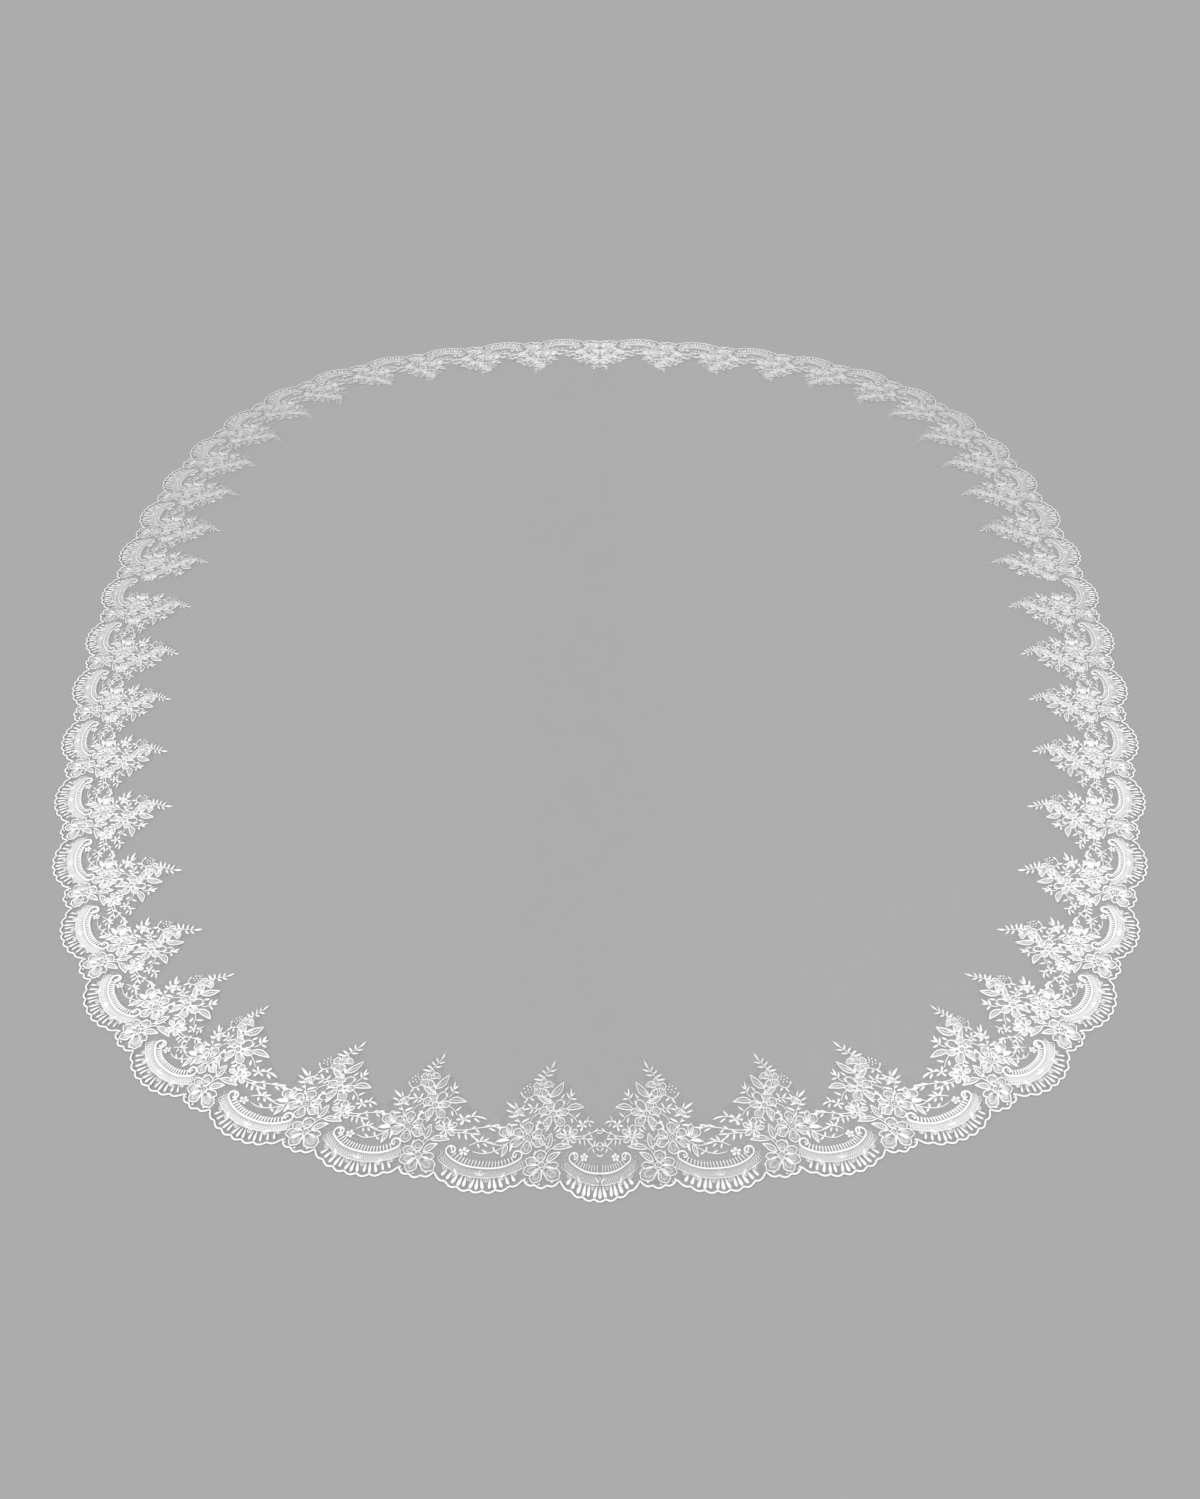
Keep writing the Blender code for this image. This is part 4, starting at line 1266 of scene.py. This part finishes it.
@dataclass
class LaceLength:
    """One length of the lace edging, laid along its part of the notch line."""

    name: str
    side: int
    first: int
    last: int
    line: NotchLine
    fan: FanScallop
    flower: FlowerScallop
    thread_finish: bpy.types.Material
    net_finish: bpy.types.Material
    seam_gap: float = 0.15
    edge_width: float = 4.4
    edge_height: float = 2.2
    edge_step: float = 3.0
    ground_step: float = 6.0
    # Rows of flower number, how full the threads lie, and the thread's painted shade, a little
    # darker at the front centre and much darker round the far half.
    fullness_and_painted_shade: tuple[tuple[float, float, float], ...] = (
        (1.0, 0.88, 0.91), (2.0, 0.95, 0.96), (3.0, 1.12, 0.98), (4.0, 1.30, 0.97),
        (5.0, 1.36, 0.97), (7.0, 1.36, 0.97), (8.0, 1.32, 0.96), (9.0, 1.28, 0.93),
        (10.0, 1.18, 0.92), (11.0, 1.12, 0.86), (12.0, 1.05, 0.76), (14.0, 1.0, 0.52),
        (16.0, 1.0, 0.36), (18.0, 1.0, 0.24), (20.0, 1.0, 0.34), (22.0, 1.04, 0.52),
        (24.0, 1.10, 0.66))
    net_bottom: float = 1.35
    net_thickness: float = 0.25
    join_edge: tuple[Point, ...] = ((120.0, 40.0), (84.0, 48.0), (64.0, 66.0), (58.0, 110.0),
                                    (52.0, 146.0))
    net_edge: tuple[Point, ...] = (
        (120.0, 114.0), (104.0, 132.0), (84.0, 149.0), (66.0, 163.0), (48.0, 186.0),
        (31.0, 212.0), (11.0, 222.0), (-6.0, 231.0), (-14.0, 264.0), (-37.0, 251.0),
        (-66.0, 231.0), (-76.0, 218.0), (-84.0, 206.0), (-90.0, 178.0), (-103.0, 168.0),
        (-112.0, 140.0), (-119.9, 114.5))

    @property
    def far(self) -> bool:
        """Whether this is a length round the broad end, which starts at a side join."""
        return self.first > 1

    @property
    def ends(self) -> Point:
        """The stations, in mm, where the length starts and ends."""
        join = self.line.flower(self.line.flowers // 2 + 1) - self.fan.middle
        if self.far:
            return join + self.seam_gap, self.line.half_length - self.seam_gap
        return self.seam_gap, join - self.seam_gap

    def fullness(self, number: int) -> float:
        """How full the stitching of a flower's repeat lies, from the tables' nearest place."""
        places, shares, _ = np.array(self.fullness_and_painted_shade).T
        return round(float(np.interp(number, places, shares)), 2)

    def repeats(self) -> list[tuple[int, Window, bool]]:
        """Each flower number with the window of its stitching, and whether it starts bare."""
        middle, flower_half = self.fan.middle, self.line.edge.flower_width / 2
        rows = []
        for number in range(self.first, self.last + 1):
            low = -flower_half if number == self.line.flowers else -1000.0
            high = middle if number == self.first else 1000.0
            rows.append((number, Window(low, high), self.far and number == self.first))
        if not self.far:
            rows.append((self.last + 1, Window(middle, 1000.0), False))
        return rows

    def stitches(self, window: Window, bare: bool, whole: bool, fullness: float) -> Stitcher:
        """Work one repeat.

        Args:
            window: what is kept of it.
            bare: whether the flowers beside the join are left off.
            whole: whether the flower is worked, not the fan alone.
            fullness: how full the threads lie, 1 being plain.

        Returns:
            The stitcher with its patches.
        """
        stitcher = Stitcher(window, self.join_edge if bare else (), fullness)
        self.fan.work(stitcher)
        if whole:
            self.flower.work(stitcher)
        return stitcher

    def tone(self, station: np.ndarray) -> np.ndarray:
        """Painted shade of the thread at stations in mm along the lace, from the table's nearest
        place.
        """
        number = 1 + (station - self.line.flower(1)) / self.line.edge.repeat
        places, _, painted_shades = np.array(self.fullness_and_painted_shade).T
        return np.interp(number, places, painted_shades)

    def laid(self, patch: Patch, number: int) -> Patch:
        """Carry a repeat's stitching to its flower's place on the floor.

        Args:
            patch: the stitching, in the lace's plane.
            number: the flower's number.

        Returns:
            The stitching in metres, its faces pointing outwards.
        """
        points = patch.points
        if number == 1:
            points = self.line.edge.centre_fan(points)
        start, end = self.ends
        station = np.clip(self.line.flower(number) - points[:, 0], start, end)
        x, y = self.line.carry(station, points[:, 1])
        flipped = self.side > 0
        # Each point's brightness is multiplied by the painted shade along the lace.
        return Patch(np.column_stack([x * self.side, y, points[:, 2] * MM]),
                     patch.thread * MM, patch.tone * self.tone(station),
                     patch.quads[:, ::-1] if flipped else patch.quads,
                     patch.tris[:, ::-1] if flipped else patch.tris)

    def edge_cord(self) -> Patch:
        """The cord along the whole outer edge of the length, just inside the edge line."""
        start, end = self.ends
        station = np.linspace(start, end, int((end - start) / self.edge_step))
        along, depth = self.edge_line(station)
        path = np.column_stack([station, depth + self.edge_width / 2])
        cord = swept(path, self.edge_width / 2, self.edge_height, self.net_bottom,
                     OUTLINE_SECTION, 1.0)
        x, y = self.line.carry(np.clip(cord.points[:, 0], start, end), cord.points[:, 1])
        points = np.column_stack([x * self.side, y, cord.points[:, 2] * MM])
        flipped = self.side < 0
        # The edge cord's brightness is multiplied by the painted shade along the lace.
        tone = cord.tone * self.tone(cord.points[:, 0])
        return Patch(points, cord.thread * MM, tone,
                     cord.quads[:, ::-1] if flipped else cord.quads,
                     cord.tris[:, ::-1] if flipped else cord.tris)

    def edge_line(self, station: np.ndarray) -> tuple[np.ndarray, np.ndarray]:
        """Along and depth of the outer edge line at stations, with the fuller centre fan."""
        along = self.line.flower(1) - station
        edge = self.line.edge
        squeezed = edge.fan_width / edge.centre_fan_width
        start = edge.flower_width / 2
        opened = np.where(along > start, start + (along - start) * squeezed, along)
        depth = edge.depth(opened)
        share = np.clip((opened - start) / edge.fan_width, 0.0, 1.0)
        swell = 1 - np.abs(2 * share - 1) ** edge.fan_roundness
        return opened, depth - (edge.centre_fan_bulge - edge.fan_bulge) * swell

    def ground(self) -> tuple[bpy.types.Object, float]:
        """The net that the lace is worked on: a thin closed sheet from edge to edge.

        Returns:
            The piece, and its flat area in square metres.
        """
        start, end = self.ends
        station = np.linspace(start, end, int((end - start) / self.ground_step))
        opened, outer = self.edge_line(station)
        around = np.mod(opened + 120.0, 240.0) - 120.0
        reach, limit = np.array(self.net_edge)[::-1].T
        inner = np.interp(around, reach, limit)
        if self.far:
            first = self.line.flower(self.first)
            bare_reach, bare_limit = np.array(self.join_edge)[::-1].T
            beside = first - station
            inner = np.where(beside > bare_reach[0],
                             np.interp(beside, bare_reach, bare_limit), inner)
        outer = outer + self.edge_width / 2
        share = np.linspace(0.0, 1.0, 4)
        depth = outer[:, None] + share * (inner - outer)[:, None]
        x, y = self.line.carry(np.broadcast_to(station[:, None], depth.shape), depth)
        columns, rows = depth.shape
        flat = np.column_stack([x.ravel() * self.side, y.ravel()])
        lower = np.column_stack([flat, np.full(len(flat), self.net_bottom * MM)])
        upper = np.column_stack([flat, np.full(len(flat),
                                               (self.net_bottom + self.net_thickness) * MM)])
        points = np.concatenate([upper, lower])
        quads = sheet_faces(columns, rows)
        if self.side < 0:
            quads = quads[:, ::-1]
        area = float(np.trapz(inner - outer, station)) * MM * MM
        piece = make_piece(f"{self.name}_ground", points, quads, np.empty((0, 3), int),
                           self.net_finish)
        return piece, area

    def build(self, cloth: bpy.types.Object) -> int:
        """Make the length's pieces, hang them on the root, hide the part they replace, and log
        them.

        Args:
            cloth: the tulle that it lies on; not used.

        Returns:
            How many faces, counted as triangles, it has.
        """
        layers: dict[Layer, list[Patch]] = {layer: [] for layer in Layer}
        worked: dict[tuple, Stitcher] = {}
        for number, window, bare in self.repeats():
            whole = number <= self.last
            key = (window, bare, whole, self.fullness(number))
            if key not in worked:
                worked[key] = self.stitches(*key)
            for layer, patches in worked[key].patches.items():
                if patches:
                    layers[layer].append(self.laid(Patch.joined(patches), number))
        layers[Layer.CORDS].append(self.edge_cord())
        pieces = []
        faces = 0
        for layer, patches in layers.items():
            patch = Patch.joined(patches)
            pieces.append(make_piece(f"{self.name}_{layer.value}", patch.points, patch.quads,
                                     patch.tris, self.thread_finish, patch.thread, patch.tone))
            count = 2 * len(patch.quads) + len(patch.tris)
            LOG.info("%s: %d triangles", pieces[-1].name, count)
            faces += count
        net, area = self.ground()
        start, end = self.ends
        for piece in (net, *pieces):
            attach(piece, "root")
        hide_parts(self.name)
        LOG.info("%s: %.3f m of lace, flat area %.3f square metres", net.name,
                 (end - start) * MM, area)
        return faces


def sheet_faces(columns: int, rows: int) -> np.ndarray:
    """Faces of a thin closed sheet of columns by rows points, its upper layer first.

    The upper layer's faces point up where columns and rows turn anticlockwise, the lower
    layer's down, and a rim joins the two.

    Args:
        columns: points along the sheet.
        rows: points across it.

    Returns:
        Rows of four corners.
    """
    column, row = np.meshgrid(np.arange(columns - 1), np.arange(rows - 1), indexing="ij")
    here = column * rows + row
    top = np.stack([here, here + rows, here + rows + 1, here + 1], axis=2).reshape(-1, 4)
    under = top[:, ::-1] + columns * rows
    rim = np.concatenate([
        np.arange(columns - 1) * rows,
        (columns - 1) * rows + np.arange(rows - 1),
        np.arange(columns - 1, 0, -1) * rows + rows - 1,
        np.arange(rows - 1, 0, -1),
    ])
    onward = np.roll(rim, -1)
    wall = np.column_stack([rim + columns * rows, onward + columns * rows, onward, rim])
    return np.concatenate([top, under, wall])


@dataclass
class TulleCloth:
    """The long oval of tulle, one thin closed sheet cut just inside the lace's edge cord."""

    line: NotchLine
    finish: bpy.types.Material
    name: str = "tulle_cloth"
    inset: float = 3.2
    bottom: float = 0.35
    thickness: float = 0.25
    step: float = 8.0
    rings: tuple[float, ...] = (1.0, 0.9, 0.6, 0.3)

    def build(self) -> bpy.types.Object:
        """Make the sheet: rings drawn in from its cut edge to a pole at its middle.

        Returns:
            The piece.
        """
        line, edge = self.line, self.line.edge
        station = np.linspace(0.0, line.half_length, int(line.half_length / self.step))
        along = line.flower(1) - station
        start = edge.flower_width / 2
        opened = np.where(along > start, start + (along - start)
                          * edge.fan_width / edge.centre_fan_width, along)
        share = np.clip((opened - start) / edge.fan_width, 0.0, 1.0)
        swell = 1 - np.abs(2 * share - 1) ** edge.fan_roundness
        depth = edge.depth(opened) - (edge.centre_fan_bulge - edge.fan_bulge) * swell + self.inset
        x, y = line.carry(station, depth)
        x[[0, -1]] = 0.0
        half = np.column_stack([x, y])
        outline = np.concatenate([half, (half * (-1, 1))[-2:0:-1]])
        middle = np.array([0.0, y.mean()])
        rings = np.array(self.rings)
        flat = (middle + rings[:, None, None] * (outline - middle)).reshape(-1, 2)
        flat = np.concatenate([flat, [middle]])
        count, layer = len(outline), len(flat)
        heights = [(self.bottom + self.thickness) * MM, self.bottom * MM]
        points = np.concatenate([np.column_stack([flat, np.full(layer, z)]) for z in heights])
        ring, corner = np.meshgrid(np.arange(len(rings) - 1), np.arange(count), indexing="ij")
        turned = (corner + 1) % count
        top = np.stack([ring * count + corner, ring * count + turned,
                        (ring + 1) * count + turned, (ring + 1) * count + corner],
                       axis=2).reshape(-1, 4)
        corner = np.arange(count)
        turned = (corner + 1) % count
        wall = np.column_stack([corner + layer, turned + layer, turned, corner])
        last = (len(rings) - 1) * count
        fan = np.column_stack([last + corner, last + turned, np.full(count, layer - 1)])
        quads = np.concatenate([top, top[:, ::-1] + layer, wall])
        tris = np.concatenate([fan, fan[:, ::-1] + layer])
        piece = make_piece(self.name, points, quads, tris, self.finish)
        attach(piece, "root")
        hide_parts("tulle_panel")
        return piece


@dataclass(frozen=True)
class Studio:
    """A plain floor, an even soft light and the camera at the photograph's angle."""

    floor_reach: float = 60.0
    ambient: float = 0.76
    key_strength: float = 1.855
    key_spread: float = 24.0
    key_turn: tuple[float, float, float] = (34.0, -16.0, 0.0)
    camera_place: tuple[float, float, float] = (0.0, -3.4797, 2.284)
    camera_tilt: float = 51.01
    lens: float = 33.56

    def build(self) -> None:
        """Make the floor, the world, the key light and the camera."""
        scene = bpy.context.scene
        scene.view_settings.view_transform = "Standard"
        reach = self.floor_reach
        corners = np.array([(-1, -1), (1, -1), (1, 1), (-1, 1)]) * reach
        floor = make_piece("floor", np.column_stack([corners, np.zeros(4)]),
                           np.array([(0, 1, 2, 3)]), np.empty((0, 3), int),
                           FloorFinish().material())
        world = bpy.data.worlds.new("studio")
        scene.world = world
        world.use_nodes = True
        background = world.node_tree.nodes["Background"]
        background.inputs["Color"].default_value = (1.0, 1.0, 1.0, 1.0)
        background.inputs["Strength"].default_value = self.ambient
        lamp = bpy.data.lights.new("key", "SUN")
        lamp.energy = self.key_strength
        lamp.angle = math.radians(self.key_spread)
        key = bpy.data.objects.new("key", lamp)
        key.rotation_euler = [math.radians(turn) for turn in self.key_turn]
        scene.collection.objects.link(key)
        camera = bpy.data.objects.new("camera", bpy.data.cameras.new("camera"))
        camera.data.lens = self.lens
        camera.data.sensor_width = 36.0
        camera.data.clip_end = 200.0
        camera.location = self.camera_place
        camera.rotation_euler = (math.radians(self.camera_tilt), 0.0, 0.0)
        scene.collection.objects.link(camera)
        scene.camera = camera


def main() -> None:
    """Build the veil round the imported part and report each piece."""
    logging.basicConfig(level=logging.INFO, format="%(message)s")
    Studio().build()
    edge = ScallopEdge()
    line = NotchLine(edge)
    thread = ThreadFinish("embroidery_thread").material()
    tulle = NetFinish("tulle_net", cell=0.0016, yarn=0.00005).material()
    lace_net = NetFinish("lace_net", cell=0.0022, yarn=0.00014).material()
    cloth = TulleCloth(line, tulle).build()
    faces = 0
    for word, side in (("left", -1), ("right", 1)):
        for part, first, last in (("near", 1, 12), ("far", 13, 24)):
            faces += LaceLength(f"lace_{part}_{word}", side, first, last, line,
                                FanScallop(edge), FlowerScallop(), thread, lace_net).build(cloth)
    LOG.info("all the stitching: %d triangles", faces)


if __name__ == "__main__":
    main()
